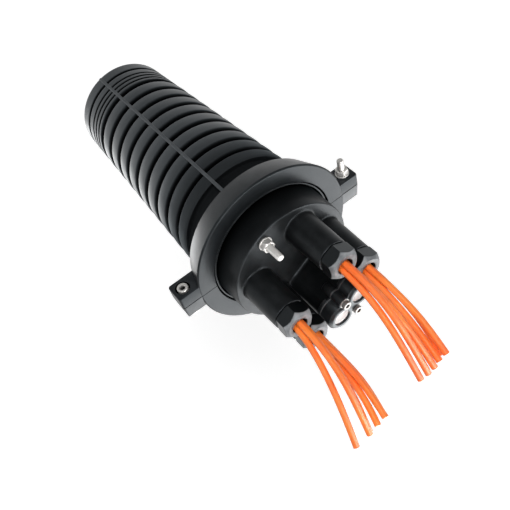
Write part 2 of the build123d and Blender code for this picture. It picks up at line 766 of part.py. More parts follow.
# Splice trays, one above the other, each with a hinge barrel, a coil island and a splice comb
tray_front = tray_back - hinge_barrel_radius - tray_tongue
tray_middle = tray_front - tray_length / 2
for number, level in enumerate(hinge_levels, start=1):
    tray_floor = level - hinge_barrel_radius
    with BuildPart() as splice_tray:
        with BuildSketch(Plane.XY.offset(tray_floor)):
            with Locations((tray_middle, 0)):
                RectangleRounded(tray_length, 2 * tray_half_width, tray_corner)
        extrude(amount=tray_wall)
        with BuildSketch(Plane.XY.offset(tray_floor + tray_wall)):
            with Locations((tray_middle, 0)):
                RectangleRounded(tray_length, 2 * tray_half_width, tray_corner)
                RectangleRounded(tray_length - 2 * tray_wall, 2 * (tray_half_width - tray_wall),
                                 tray_corner - tray_wall, mode=Mode.SUBTRACT)
            with Locations((tray_middle - coil_island_place, 0)):
                SlotCenterToCenter(coil_island_length, coil_island_width)
                SlotCenterToCenter(coil_island_length, coil_island_width - 2 * tray_wall,
                                   mode=Mode.SUBTRACT)
            with Locations((tray_middle + comb_place, 0)):
                with GridLocations(0, comb_pitch, 1, comb_wall_count):
                    Rectangle(comb_length, comb_wall)
        extrude(amount=tray_height - tray_wall)
        with BuildSketch(Plane.XZ.offset(-hinge_barrel_length / 2)):
            with Locations((tray_back, level)):
                Circle(hinge_barrel_radius)
            with Locations((tray_back, level - hinge_barrel_radius + tray_wall / 2)):
                Rectangle(tray_back - tray_front + tray_wall, tray_wall, align=(Align.MAX, Align.CENTER))
            with Locations((tray_back, level)):
                Circle(hinge_pin_radius + plug_gap, mode=Mode.SUBTRACT)
        extrude(amount=hinge_barrel_length)
    keep(splice_tray, f"splice_tray_{number}")

with BuildPart() as tray_hinge_pins:
    with BuildSketch(Plane.XZ.offset(-cheek_inner - cheek_thickness)):
        with Locations(*[(tray_back, level) for level in hinge_levels]):
            Circle(hinge_pin_radius)
    extrude(amount=2 * (cheek_inner + cheek_thickness))
keep(tray_hinge_pins, "tray_hinge_pins")

cover_level = hinge_levels[-1] - hinge_barrel_radius + tray_height
with BuildPart() as tray_cover:
    with BuildSketch(Plane.XY.offset(cover_level)):
        with Locations((tray_middle, 0)):
            RectangleRounded(tray_length, 2 * tray_half_width, tray_corner)
    extrude(amount=cover_thickness)
keep(tray_cover, "tray_cover")

with BuildPart() as storage_basket:
    with BuildSketch(Plane.XY.offset(arm_bottom - basket_depth)):
        with Locations((tray_middle, 0)):
            RectangleRounded(basket_length, 2 * basket_half_width, basket_corner)
    extrude(amount=basket_depth)
    with BuildSketch(Plane.XY.offset(arm_bottom - basket_depth + basket_wall)):
        with Locations((tray_middle, 0)):
            RectangleRounded(basket_length - 2 * basket_wall, 2 * (basket_half_width - basket_wall),
                             basket_corner - basket_wall)
    extrude(amount=basket_depth, mode=Mode.SUBTRACT)
keep(storage_basket, "storage_basket")

# Cables: three from each round port, straight through the gland, then hanging in a widening fan
cable_start = 94.0
cable_bend = 121.0
cable_routes = {
    "1_1": [(150, -53.5, -1), (179, -60, -14.5), (206, -67.5, -35), (228.5, -75, -58)],
    "1_2": [(150, -46.5, 8), (179, -48.5, -3.5), (206, -52.5, -28), (228.5, -57.5, -55)],
    "1_3": [(148, -43.5, -1), (176, -45.5, -15), (202, -48.5, -39), (223.5, -54, -62)],
    "2_1": [(150, 14.5, 36), (179, 13.5, 22), (206, 12, -3), (228.5, 10.5, -30)],
    "2_2": [(150, 19, 44.5), (179, 19.8, 30.5), (206, 20.5, 1), (228.5, 20.5, -31)],
    "2_3": [(150, 22.8, 36.5), (179, 24.8, 23), (206, 28.2, -3), (228.5, 28.8, -29)],
    "3_1": [(150, 41, 5), (179, 39.5, -1.5), (206, 37.5, -12.5), (228.5, 35.5, -24.5)],
    "3_2": [(150, 45.8, 12.5), (179, 46, 6.5), (206, 45.5, -5), (228.5, 44.5, -21)],
    "3_3": [(150, 49, 5), (178, 48.5, -2), (203, 46.5, -14), (223.2, 43.5, -28.5)],
    "4_1": [(150, -35.5, -37), (179, -36.5, -39), (206, -40, -43.5), (228.5, -46.5, -51.5)],
    "4_2": [(150, -31, -31), (179, -31, -33.5), (206, -33, -39.5), (228.5, -36.5, -47.5)],
    "4_3": [(150, -27.8, -37.5), (178, -27.5, -41), (203, -30, -47.5), (223.2, -34.4, -54.5)],
}


def bend_radii(points):
    """Radius for each inner point: a share of the shorter run over the tangent of half the turn."""
    radii = []
    for before, here, after in zip(points, points[1:], points[2:]):
        arriving = Vector(*here) - Vector(*before)
        leaving = Vector(*after) - Vector(*here)
        turn = radians(arriving.get_angle(leaving))
        radii.append(bend_share * min(arriving.length, leaving.length) / tan(turn / 2))
    return radii


for name, free_points in cable_routes.items():
    port, place = (int(digit) for digit in name.split("_"))
    start_y = port_places[port - 1][0] + cable_offsets[place - 1][0]
    start_z = port_places[port - 1][1] + cable_offsets[place - 1][1]
    route = [(cable_start, start_y, start_z), (cable_bend, start_y, start_z), *free_points]
    radii = bend_radii(route)
    with BuildPart() as cable:
        with BuildLine() as path:
            FilletPolyline(*route, radius=radii)
        with BuildSketch(Plane(origin=route[0], z_dir=(1, 0, 0))):
            Circle(cable_radius)
        sweep()
    keep(cable, f"cable_{name}")
    length = sum(edge.length for edge in path.edges())
    expected = pi * cable_radius ** 2 * length
    print(f"cable_{name}: length {length:.1f}, radii {[round(r) for r in radii]},"
          f" volume {cable.part.volume:.0f} of {expected:.0f}")
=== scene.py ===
"""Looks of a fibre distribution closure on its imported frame.

Lengths in the classes are millimetres and become metres when a mesh is made. Only the studio and its lamps
are in metres. The closure's axis is X, from the dome's closed end to the cable glands, and the clamp's bolts
stand along Z.
"""
from __future__ import annotations

import json
import logging
from dataclasses import dataclass, field
from enum import Enum

import bmesh
import bpy
import numpy as np
from mathutils import Matrix, Vector
from mathutils.geometry import delaunay_2d_cdt

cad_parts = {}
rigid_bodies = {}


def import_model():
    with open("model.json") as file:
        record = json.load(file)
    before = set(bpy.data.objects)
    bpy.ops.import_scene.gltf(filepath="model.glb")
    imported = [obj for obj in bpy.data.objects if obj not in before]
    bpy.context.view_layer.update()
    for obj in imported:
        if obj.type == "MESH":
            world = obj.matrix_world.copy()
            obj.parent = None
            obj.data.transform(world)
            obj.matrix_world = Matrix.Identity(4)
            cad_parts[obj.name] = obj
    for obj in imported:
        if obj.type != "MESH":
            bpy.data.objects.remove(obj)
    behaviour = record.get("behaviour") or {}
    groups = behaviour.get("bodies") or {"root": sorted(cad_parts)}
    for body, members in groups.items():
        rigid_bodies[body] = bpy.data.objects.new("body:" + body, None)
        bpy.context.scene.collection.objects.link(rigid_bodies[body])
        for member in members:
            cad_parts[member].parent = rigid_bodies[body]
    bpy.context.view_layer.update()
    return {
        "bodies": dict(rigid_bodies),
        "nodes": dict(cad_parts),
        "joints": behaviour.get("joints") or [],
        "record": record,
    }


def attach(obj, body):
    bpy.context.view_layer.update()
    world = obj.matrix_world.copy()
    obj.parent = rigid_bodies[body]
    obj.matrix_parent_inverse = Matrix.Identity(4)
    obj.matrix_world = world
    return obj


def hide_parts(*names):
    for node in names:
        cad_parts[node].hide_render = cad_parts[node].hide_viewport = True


MILLIMETRE = 0.001
FULL_TURN = 2 * np.pi
PORT_REACH = 46.5
PORT_ANGLES = (173.3, 66.7, 13.0, 227.0)
log = logging.getLogger("closure")

Array = np.ndarray
Colour = tuple[float, float, float]


class Along(Enum):
    """The axis that a turned or stacked shape stands on."""

    X = "x"
    Z = "z"

    def stack(self, along: Array, one: Array, two: Array) -> Array:
        """Points from their places along the axis and their other two coordinates."""
        return np.stack((along, one, two) if self is Along.X else (one, two, along), axis=-1)


class Body(Enum):
    """The bodies of the frame that pieces ride on."""

    CLOSURE = "closure"
    CLAMP_SCREW = "clamp_screw"
    HANGER_NUT = "hanger_nut"
    EARTH_NUT = "earth_nut"


# Shapes as whole arrays


def around(radius: float, angle: float) -> tuple[float, float]:
    """Y and Z at a radius and an angle in degrees around the closure's axis."""
    return radius * float(np.cos(np.radians(angle))), radius * float(np.sin(np.radians(angle)))


def rounded(points: list[tuple[float, float]], radii: float | list[float], steps: int = 5,
            closed: bool = True) -> Array:
    """Rounds the corners of a profile with true arcs.

    Each corner C with the unit directions in and out gets A = C - in * reach and B = C + out * reach, where
    reach is the radius times the tangent of half the turn. The arc between them is the quadratic curve
    ((1-t)^2 A + 2 t (1-t) w C + t^2 B) / ((1-t)^2 + 2 t (1-t) w + t^2), with w the cosine of half the turn.

    Args:
        points: the corners, in order.
        radii: one radius, or one for each corner.
        steps: pieces that each arc is divided into.
        closed: whether the last corner joins the first.

    Returns:
        The rounded profile, one row for each point.
    """
    corners = np.asarray(points, float)
    wanted = np.broadcast_to(np.asarray(radii, float), len(corners)).copy()
    if not closed:
        wanted[[0, -1]] = 0.0
    arriving = corners - np.roll(corners, 1, axis=0)
    leaving = np.roll(corners, -1, axis=0) - corners
    run_in = np.linalg.norm(arriving, axis=1)
    run_out = np.linalg.norm(leaving, axis=1)
    arriving /= np.maximum(run_in, 1e-9)[:, None]
    leaving /= np.maximum(run_out, 1e-9)[:, None]
    turn = np.arccos(np.clip((arriving * leaving).sum(1), -1, 1))
    reach = np.minimum(wanted * np.tan(np.minimum(turn, 3.0) / 2), 0.49 * np.minimum(run_in, run_out))
    weight = np.cos(turn / 2)[:, None, None]
    t = np.linspace(0, 1, steps + 1)[None, :, None]
    first = (corners - arriving * reach[:, None])[:, None]
    last = (corners + leaving * reach[:, None])[:, None]
    above = (1 - t) ** 2 * first + 2 * t * (1 - t) * weight * corners[:, None] + t ** 2 * last
    curve = (above / ((1 - t) ** 2 + 2 * t * (1 - t) * weight + t ** 2)).reshape(-1, 2)
    apart = np.linalg.norm(curve - np.roll(curve, 1, axis=0), axis=1) > 1e-4
    if not closed:
        apart[0] = True
    return curve[apart]


def convexity(profile: Array, closed: bool = True) -> Array:
    """How sharply a profile turns at each point, from 0 on a straight run to 1 on an edge.

    The measure is the turn between the two runs at a point, over a quarter of a right angle, and at most 1.

    Args:
        profile: the points, in order.
        closed: whether the last point joins the first.

    Returns:
        The sharpness at each point.
    """
    arriving = profile - np.roll(profile, 1, axis=0)
    leaving = np.roll(profile, -1, axis=0) - profile
    cross = np.abs(arriving[:, 0] * leaving[:, 1] - arriving[:, 1] * leaving[:, 0])
    turn = np.arctan2(cross, (arriving * leaving).sum(1))
    share = np.clip(turn / (np.pi / 8), 0, 1)
    if not closed:
        share[[0, -1]] = 0
    return share


@dataclass
class Skin:
    """A surface on a grid of two parameters, or loose faces on its own points."""

    points: Array
    faces: Array
    wear_and_painted_light: Array

    @classmethod
    def grid(cls, points: Array, wear_and_painted_light: Array | None = None, close_rows: bool = True,
             close_columns: bool = True) -> "Skin":
        """Joins a grid of points into four-sided faces.

        Args:
            points: rows, columns and three coordinates.
            wear_and_painted_light: a value for each point, from -1 where shade is painted in a recess to 1 on
                an edge painted paler for rubbing and as a highlight, else 0 all over.
            close_rows: whether the last row joins the first.
            close_columns: whether the last column joins the first.

        Returns:
            The surface.
        """
        rows, columns = points.shape[:2]
        number = np.arange(rows * columns).reshape(rows, columns)
        next_row = np.roll(number, -1, axis=0)
        next_column = np.roll(number, -1, axis=1)
        both = np.roll(next_row, -1, axis=1)
        faces = np.stack([number, next_column, both, next_row], axis=-1)
        faces = faces[: rows if close_rows else rows - 1, : columns if close_columns else columns - 1]
        value = np.zeros((rows, columns)) if wear_and_painted_light is None else np.broadcast_to(wear_and_painted_light, (rows, columns))
        return cls(points.reshape(-1, 3), faces.reshape(-1, 4), value.reshape(-1).copy())

    def outward(self) -> "Skin":
        """Turns the faces round if the volume inside them comes out negative.

        The volume is the sum over faces of the corners' triple products, measured from the points' middle.

        Returns:
            The same skin.
        """
        corner = self.points[self.faces] - self.points.mean(0)
        first, second, third = corner[:, 0], corner[:, 1], corner[:, 2]
        volume = np.einsum("ij,ij->i", first, np.cross(second, third)).sum()
        if self.faces.shape[1] == 4:
            volume += np.einsum("ij,ij->i", first, np.cross(third, corner[:, 3])).sum()
        if volume < 0:
            self.faces = self.faces[:, ::-1].copy()
        return self


def spun(along: Array, radii: Array, angles: Array, centre: tuple[float, float], axis: Along) -> Array:
    """Points round an axis: at angle a, the centre plus the radius times (cos a, sin a).

    Args:
        along: places along the axis.
        radii: a radius for each of them.
        angles: the angles.
        centre: where the axis stands, in the other two coordinates.
        axis: the axis.

    Returns:
        A row of points for each angle.
    """
    one = centre[0] + np.cos(angles)[:, None] * radii
    two = centre[1] + np.sin(angles)[:, None] * radii
    return axis.stack(np.broadcast_to(along, one.shape), one, two)


def turned(profile: Array, centre: tuple[float, float] = (0.0, 0.0), axis: Along = Along.X, steps: int = 96,
           start: float = 0.0, span: float = FULL_TURN, closed: bool = True,
           wear_and_painted_light: Array | None = None) -> Skin:
    """A profile of places along the axis and radii, carried round the axis.

    Args:
        profile: rows of (place along the axis, radius).
        centre: where the axis stands, in the other two coordinates.
        axis: the axis it is turned about.
        steps: number of angles.
        start: first angle.
        span: how far round it goes. Less than a full turn leaves two open ends.
        closed: whether the profile is a closed loop.
        wear_and_painted_light: the value of each row, painted shade below 0 and a paler edge for rubbing and
            a highlight above it, else it follows the profile's edges.

    Returns:
        The surface, facing outwards.
    """
    whole = span >= FULL_TURN - 1e-6
    angles = start + np.linspace(0, span, steps, endpoint=not whole)
    points = spun(profile[None, :, 0], profile[None, :, 1], angles, centre, axis)
    rubbed = (convexity(profile, closed) if wear_and_painted_light is None else wear_and_painted_light)[None, :]
    return Skin.grid(points, rubbed, close_rows=whole, close_columns=closed).outward()


def inset(outline: Array, by: float) -> Array:
    """Moves a closed outline inwards, along the normal at each of its points.

    The normal is the direction across the run from the point before to the point after.

    Args:
        outline: the outline.
        by: how far, or outwards where it is negative.

    Returns:
        The moved outline.
    """
    along = np.roll(outline, -1, axis=0) - np.roll(outline, 1, axis=0)
    along /= np.maximum(np.linalg.norm(along, axis=1), 1e-9)[:, None]
    normal = np.stack([along[:, 1], -along[:, 0]], axis=1)
    outward = np.sign((normal * (outline - outline.mean(0))).sum())
    return outline - normal * outward * by


def stacked(rings: list[tuple[Array, float]], axis: Along, closed: bool = False) -> Skin:
    """Outlines of equal length laid one above the other and joined.

    Args:
        rings: each outline and its height along the axis.
        axis: the axis the stack stands on.
        closed: whether the last outline joins the first, as round a hole.

    Returns:
        The surface, facing outwards.
    """
    outlines = np.stack([outline for outline, _ in rings])
    heights = np.broadcast_to(np.array([height for _, height in rings])[:, None], outlines.shape[:2])
    points = axis.stack(heights, outlines[..., 0], outlines[..., 1])
    side = np.stack([np.linalg.norm(outlines - outlines[0].mean(0), axis=-1).mean(1), heights[:, 0]], axis=1)
    wear_and_painted_light = convexity(side, closed)[:, None]
    return Skin.grid(points, wear_and_painted_light, close_rows=closed).outward()


def flat_face(outer: Array, holes: list[Array], height: float, axis: Along, up: bool = True) -> Skin:
    """A flat face between an outline and the holes in it, divided into triangles.

    Args:
        outer: the outline.
        holes: the outlines of the holes.
        height: where the face lies along the axis.
        axis: the axis it stands across.
        up: whether it faces along the axis or against it.

    Returns:
        The face.
    """
    loops = [outer, *holes]
    points = np.concatenate(loops)
    first = np.cumsum([0] + [len(loop) for loop in loops])
    edges = [(int(first[i] + j), int(first[i] + (j + 1) % len(loop)))
             for i, loop in enumerate(loops) for j in range(len(loop))]
    found, _, triangles, *_ = delaunay_2d_cdt([Vector(p) for p in points], edges, [], 1, 1e-5)
    flat = np.array([tuple(p) for p in found])
    triangles = np.array(triangles)
    middle = flat[triangles].mean(1)
    keep = inside(middle, outer)
    for hole in holes:
        keep &= ~inside(middle, hole)
    triangles = triangles[keep]
    side = flat[triangles]
    turn = np.cross(side[:, 1] - side[:, 0], side[:, 2] - side[:, 0])
    triangles[(turn < 0) == up] = triangles[(turn < 0) == up][:, ::-1]
    level = np.full(len(flat), height)
    return Skin(axis.stack(level, flat[:, 0], flat[:, 1]), triangles, np.zeros(len(flat)))


def inside(points: Array, outline: Array) -> Array:
    """Which points lie in a closed outline: those from which a ray crosses it an odd number of times.

    Args:
        points: the points, in a plane.
        outline: the outline.

    Returns:
        A yes or no for each point.
    """
    here, there = outline[None], np.roll(outline, -1, axis=0)[None]
    x, y = points[:, 0, None], points[:, 1, None]
    spans = (here[..., 1] > y) != (there[..., 1] > y)
    rise = np.where(np.abs(there[..., 1] - here[..., 1]) < 1e-12, 1e-12, there[..., 1] - here[..., 1])
    reach = here[..., 0] + (y - here[..., 1]) * (there[..., 0] - here[..., 0]) / rise
    return (spans & (x < reach)).sum(1) % 2 == 1


def circle(centre: tuple[float, float], radius: float, steps: int = 64) -> Array:
    """A closed ring of points."""
    angle = np.linspace(0, FULL_TURN, steps, endpoint=False)
    return np.stack([centre[0] + radius * np.cos(angle), centre[1] + radius * np.sin(angle)], axis=1)


def hexagon_radius(angle: Array, flats: float) -> Array:
    """Distance from a hexagon's middle to its side: half the flats over the cosine to the nearest flat."""
    nearest = (angle + np.pi / 6) % (np.pi / 3) - np.pi / 6
    return flats / 2 / np.cos(nearest)


def hexagon_blank(profile: Array, flats: float, centre: tuple[float, float], axis: Along, turn: float = 0.0,
                  steps: int = 144, corner_round: float = 0.25, turned_reflection: Array | None = None) -> Skin:
    """A turned blank milled to a hexagon.

    The radius is the smaller of the profile's and the hexagon's, blended over a small width at the corners.

    Args:
        profile: closed rows of (place along the axis, radius).
        flats: width over the flats.
        centre: where the axis stands.
        axis: the axis it is turned about.
        turn: angle of the middle of the first flat.
        steps: number of angles.
        corner_round: width of the blend.
        turned_reflection: the painted reflection of each row where the blank keeps its turned surface, none
            on the flats.

    Returns:
        The surface, facing outwards.
    """
    angles = np.linspace(0, FULL_TURN, steps, endpoint=False)
    limit = hexagon_radius(angles - turn, flats)[:, None]
    blank = profile[None, :, 1]
    radius = -corner_round * np.logaddexp(-blank / corner_round, -limit / corner_round)
    radius = np.where(blank < limit - 6 * corner_round, blank, radius)
    wear_and_painted_light = convexity(profile)[None, :]
    # on a turned face the value is a painted reflection
    if turned_reflection is not None:
        fade = 0.25
        wear_and_painted_light = np.clip((limit - blank) / fade + 0.5, 0, 1) * turned_reflection[None, :]
    return Skin.grid(spun(profile[None, :, 0], radius, angles, centre, axis), wear_and_painted_light).outward()


def threaded(low: float, high: float, radius: float, pitch: float, depth: float, centre: tuple[float, float],
             axis: Along, point: float = 0.8, steps: int = 48, rows_per_pitch: int = 8) -> Skin:
    """A threaded shank.

    The radius is the outer one less the depth times a triangle wave of the place along the axis over the
    pitch, less the share of a turn, so that the ridges run round as a helix. Both ends close on the axis.

    Args:
        low: where the shank begins.
        high: where its point ends.
        radius: the outer radius.
        pitch: from one ridge to the next.
        depth: from a ridge's top to the valley.
        centre: where the axis stands.
        axis: the axis it stands on.
        point: length and depth of the chamfer at the high end.
        steps: number of angles.
        rows_per_pitch: rows of points in one pitch.

    Returns:
        The surface, facing outwards.
    """
    rows = int((high - low) / pitch * rows_per_pitch) + 1
    along = np.linspace(low, high, rows)
    angles = np.linspace(0, FULL_TURN, steps, endpoint=False)
    phase = (along[None, :] / pitch - angles[:, None] / FULL_TURN) % 1.0
    wave = 1 - np.abs(2 * phase - 1)
    taper = np.clip((point - (high - along)) / point, 0, 1)[None, :]
    body = radius - depth * np.clip(wave * 1.3 - 0.15, 0, 1) * (1 - taper) - point * taper
    pole = np.zeros((steps, 1))
    radii = np.concatenate([pole, body, pole], axis=1)
    place = np.concatenate([[low], along, [high]])[None, :]
    return Skin.grid(spun(place, radii, angles, centre, axis), close_columns=False).outward()


def piece(name: str, skins: list[Skin], finish: bpy.types.Material, body: Body | str,
          stands_for: tuple[str, ...] = (), sharp: float = 38.0) -> bpy.types.Object:
    """Makes one object from its surfaces, dresses it and lets it ride on its body.

    Args:
        name: the object's name.
        skins: the surfaces, in millimetres.
        finish: the material.
        body: the body it rides on.
        stands_for: the frame's nodes that it replaces.
        sharp: angle in degrees past which an edge is shown sharp.

    Returns:
        The new object.
    """
    offset, points, faces, wear_and_painted_light = 0, [], [], []
    for skin in skins:
        points.append(skin.points)
        wear_and_painted_light.append(skin.wear_and_painted_light)
        faces.extend((skin.faces + offset).tolist())
        offset += len(skin.points)
    mesh = bpy.data.meshes.new(name)
    mesh.from_pydata((np.concatenate(points) * MILLIMETRE).tolist(), [], faces)
    # per-point value of painted shade (below 0) and of paler edges for rubbing and a painted highlight (above
    # 0)
    attribute = mesh.attributes.new("wear_and_painted_light", "FLOAT", "POINT")
    attribute.data.foreach_set("value", np.concatenate(wear_and_painted_light).astype(np.float32))
    tidy_mesh(mesh)
    mesh.shade_smooth()
    mesh.set_sharp_from_angle(angle=float(np.radians(sharp)))
    made = bpy.data.objects.new(name, mesh)
    bpy.context.scene.collection.objects.link(made)
    mesh.materials.append(finish)
    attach(made, body.value if isinstance(body, Body) else body)
    if stands_for:
        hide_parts(*stands_for)
    log.info("piece %s: %d faces", name, len(mesh.polygons))
    return made


def tidy_mesh(mesh: bpy.types.Mesh) -> None:
    """Closes poles and seams by merging points that lie on each other.

    Args:
        mesh: the mesh.
    """
    work = bmesh.new()
    work.from_mesh(mesh)
    bmesh.ops.remove_doubles(work, verts=work.verts, dist=2e-6)
    bmesh.ops.dissolve_degenerate(work, dist=1e-7, edges=work.edges)
    work.to_mesh(mesh)
    work.free()
    mesh.update()


# Finishes


class Nodes:
    """A short way to add nodes to a tree and join them."""

    def __init__(self, tree: bpy.types.NodeTree) -> None:
        """Keeps the tree."""
        self.tree = tree

    def add(self, kind: str, inputs: dict[str | int, object] | None = None,
            **settings: object) -> bpy.types.Node:
        """Adds a node.

        Args:
            kind: the node's type.
            inputs: values or sockets for its inputs, by name or number.
            settings: the node's own properties.

        Returns:
            The new node.
        """
        node = self.tree.nodes.new(kind)
        for key, value in settings.items():
            setattr(node, key, value)
        for key, value in (inputs or {}).items():
            self.put(node.inputs[key], value)
        return node

    def put(self, socket: bpy.types.NodeSocket, value: object) -> None:
        """Joins an output to an input, or writes a value on it.

        Args:
            socket: the input.
            value: the output to join, or the value.
        """
        if isinstance(value, bpy.types.NodeSocket):
            self.tree.links.new(value, socket)
        else:
            socket.default_value = value

    def maths(self, operation: str, one: object, two: object = 0.0) -> bpy.types.NodeSocket:
        """One calculation on two numbers."""
        return self.add("ShaderNodeMath", {0: one, 1: two}, operation=operation).outputs[0]

    def spread(self, value: object, low: float, high: float, to_low: float = 0.0,
               to_high: float = 1.0) -> bpy.types.NodeSocket:
        """Stretches a range of values to another, and stops at its ends."""
        return self.add("ShaderNodeMapRange", {"Value": value, "From Min": low, "From Max": high,
                                               "To Min": to_low, "To Max": to_high}).outputs[0]

    def blend(self, share: object, one: object, two: object) -> bpy.types.NodeSocket:
        """Mixes two colours."""
        node = self.add("ShaderNodeMix", {0: share, 6: one, 7: two}, data_type="RGBA")
        return node.outputs[2]

    def place(self) -> bpy.types.NodeSocket:
        """The place on the piece, in Object coordinates."""
        return self.add("ShaderNodeTexCoord").outputs["Object"]

    def noise(self, place: object, scale: object, detail: float,
              roughness: float = 0.5) -> bpy.types.NodeSocket:
        """A pattern of noise."""
        return self.add("ShaderNodeTexNoise", {"Vector": place, "Scale": scale, "Detail": detail,
                                               "Roughness": roughness}).outputs[0]

    def bump(self, strength: float, depth: object, height: object) -> bpy.types.NodeSocket:
        """A normal that follows a height."""
        return self.add("ShaderNodeBump", {"Strength": strength, "Distance": depth,
                                           "Height": height}).outputs[0]

    def wear_and_painted_light(self) -> bpy.types.NodeSocket:
        """The mesh's own value: painted shade below 0, paler edges for rubbing and a painted highlight above
        0.
        """
        return self.add("ShaderNodeAttribute", attribute_name="wear_and_painted_light").outputs["Fac"]

    def painted_shade(self, wear_and_painted_light: object) -> bpy.types.NodeSocket:
        """How much shade is painted on a place, from 0 to 1: the mesh's own value below nothing."""
        return self.spread(wear_and_painted_light, -1.0, 0.0, 1.0, 0.0)

    def seen(self) -> bpy.types.NodeSocket:
        """1 for a ray from the camera, from a mirror or through glass, else 0.

        Returns:
            The value.
        """
        path = self.add("ShaderNodeLightPath")
        direct = self.maths("MAXIMUM", path.outputs["Is Camera Ray"], path.outputs["Is Transmission Ray"])
        return self.maths("MAXIMUM", direct, path.outputs["Is Glossy Ray"])


GroupParts = tuple[bpy.types.NodeTree, Nodes, bpy.types.Node, bpy.types.Node]


def cleared(owner: bpy.types.Material | bpy.types.World) -> Nodes:
    """Turns nodes on for a material or a world and takes out the ones it came with.

    Args:
        owner: the material or the world.

    Returns:
        Its empty tree.
    """
    owner.use_nodes = True
    owner.node_tree.nodes.clear()
    return Nodes(owner.node_tree)


def new_group(name: str, inputs: dict[str, float], outputs: dict[str, str]) -> GroupParts:
    """Starts a shared group of shader nodes.

    Args:
        name: the group's name.
        inputs: its number inputs, with their values.
        outputs: its outputs, with the kind of each socket.

    Returns:
        The group, its nodes, its input node and its output node.
    """
    tree = bpy.data.node_groups.new(name, "ShaderNodeTree")
    for key, value in inputs.items():
        socket = tree.interface.new_socket(key, in_out="INPUT", socket_type="NodeSocketFloat")
        socket.default_value = value
    for key, kind in outputs.items():
        tree.interface.new_socket(key, in_out="OUTPUT", socket_type=kind)
    nodes = Nodes(tree)
    return tree, nodes, nodes.add("NodeGroupInput"), nodes.add("NodeGroupOutput")


def moulded_grain() -> bpy.types.NodeTree:
    """Shared group: the fine eroded grain of a mould, its slow unevenness and the marks of handling.

    Returns:
        The group. It puts out a normal, a change of roughness and a share of dust.
    """
    tree, nodes, given, result = new_group(
        "moulded grain", {"Grain": 1400.0, "Depth": 0.00004, "Marks": 1.0},
        {"Normal": "NodeSocketVector", "Rough": "NodeSocketFloat", "Dust": "NodeSocketFloat"})
    slow_share, scrape_rough, scrape_dust, speck_dust = 0.8, 0.06, 0.25, 0.5
    place = nodes.place()
    fine = nodes.noise(place, given.outputs["Grain"], 2.0)
    slow = nodes.noise(place, 34.0, 3.0)
    along_axis = nodes.add("ShaderNodeMapping", {"Vector": place, "Scale": (14.0, 210.0, 210.0)}).outputs[0]
    scrape = nodes.spread(nodes.noise(along_axis, 4.0, 6.0, 0.75), 0.62, 0.72)
    specks = nodes.noise(place, 420.0, 4.0, 0.8)
    height = nodes.maths("ADD", fine, nodes.maths("MULTIPLY", slow, slow_share))
    marks = nodes.maths("MULTIPLY", scrape, given.outputs["Marks"])
    rough = nodes.maths("ADD", nodes.spread(slow, 0.3, 0.7, -0.05, 0.05),
                        nodes.maths("MULTIPLY", marks, scrape_rough))
    dust = nodes.maths("MULTIPLY", nodes.spread(specks, 0.58, 0.74), nodes.spread(slow, 0.42, 0.62))
    nodes.put(result.inputs["Normal"], nodes.bump(0.55, given.outputs["Depth"], height))
    nodes.put(result.inputs["Rough"], rough)
    nodes.put(result.inputs["Dust"], nodes.maths("ADD", nodes.maths("MULTIPLY", dust, speck_dust),
                                                 nodes.maths("MULTIPLY", scrape, scrape_dust)))
    return tree


def worn_and_lit_edges() -> bpy.types.NodeTree:
    """Shared group: edges painted paler for rubbing and as a highlight, and painted shade in recesses, from
    the mesh's own values.

    A value above nothing marks a paler edge, broken up by noise. A value below nothing is painted shade.

    Returns:
        The group. It puts out a mask of the paler edges and one of the painted shade.
    """
    tree, nodes, given, result = new_group("worn and lit edges", {"Amount": 1.0},
                                           {"Mask": "NodeSocketFloat", "Painted Shade": "NodeSocketFloat"})
    wear_and_painted_light = nodes.wear_and_painted_light()
    patches = nodes.noise(nodes.place(), 90.0, 5.0)
    worn_and_lit = nodes.maths("MAXIMUM", wear_and_painted_light, 0.0)
    mask = nodes.maths("MULTIPLY", worn_and_lit, nodes.spread(patches, 0.35, 0.65, 0.35, 1.0))
    nodes.put(result.inputs["Mask"], nodes.maths("MULTIPLY", mask, given.outputs["Amount"]))
    nodes.put(result.inputs["Painted Shade"], nodes.painted_shade(wear_and_painted_light))
    return tree


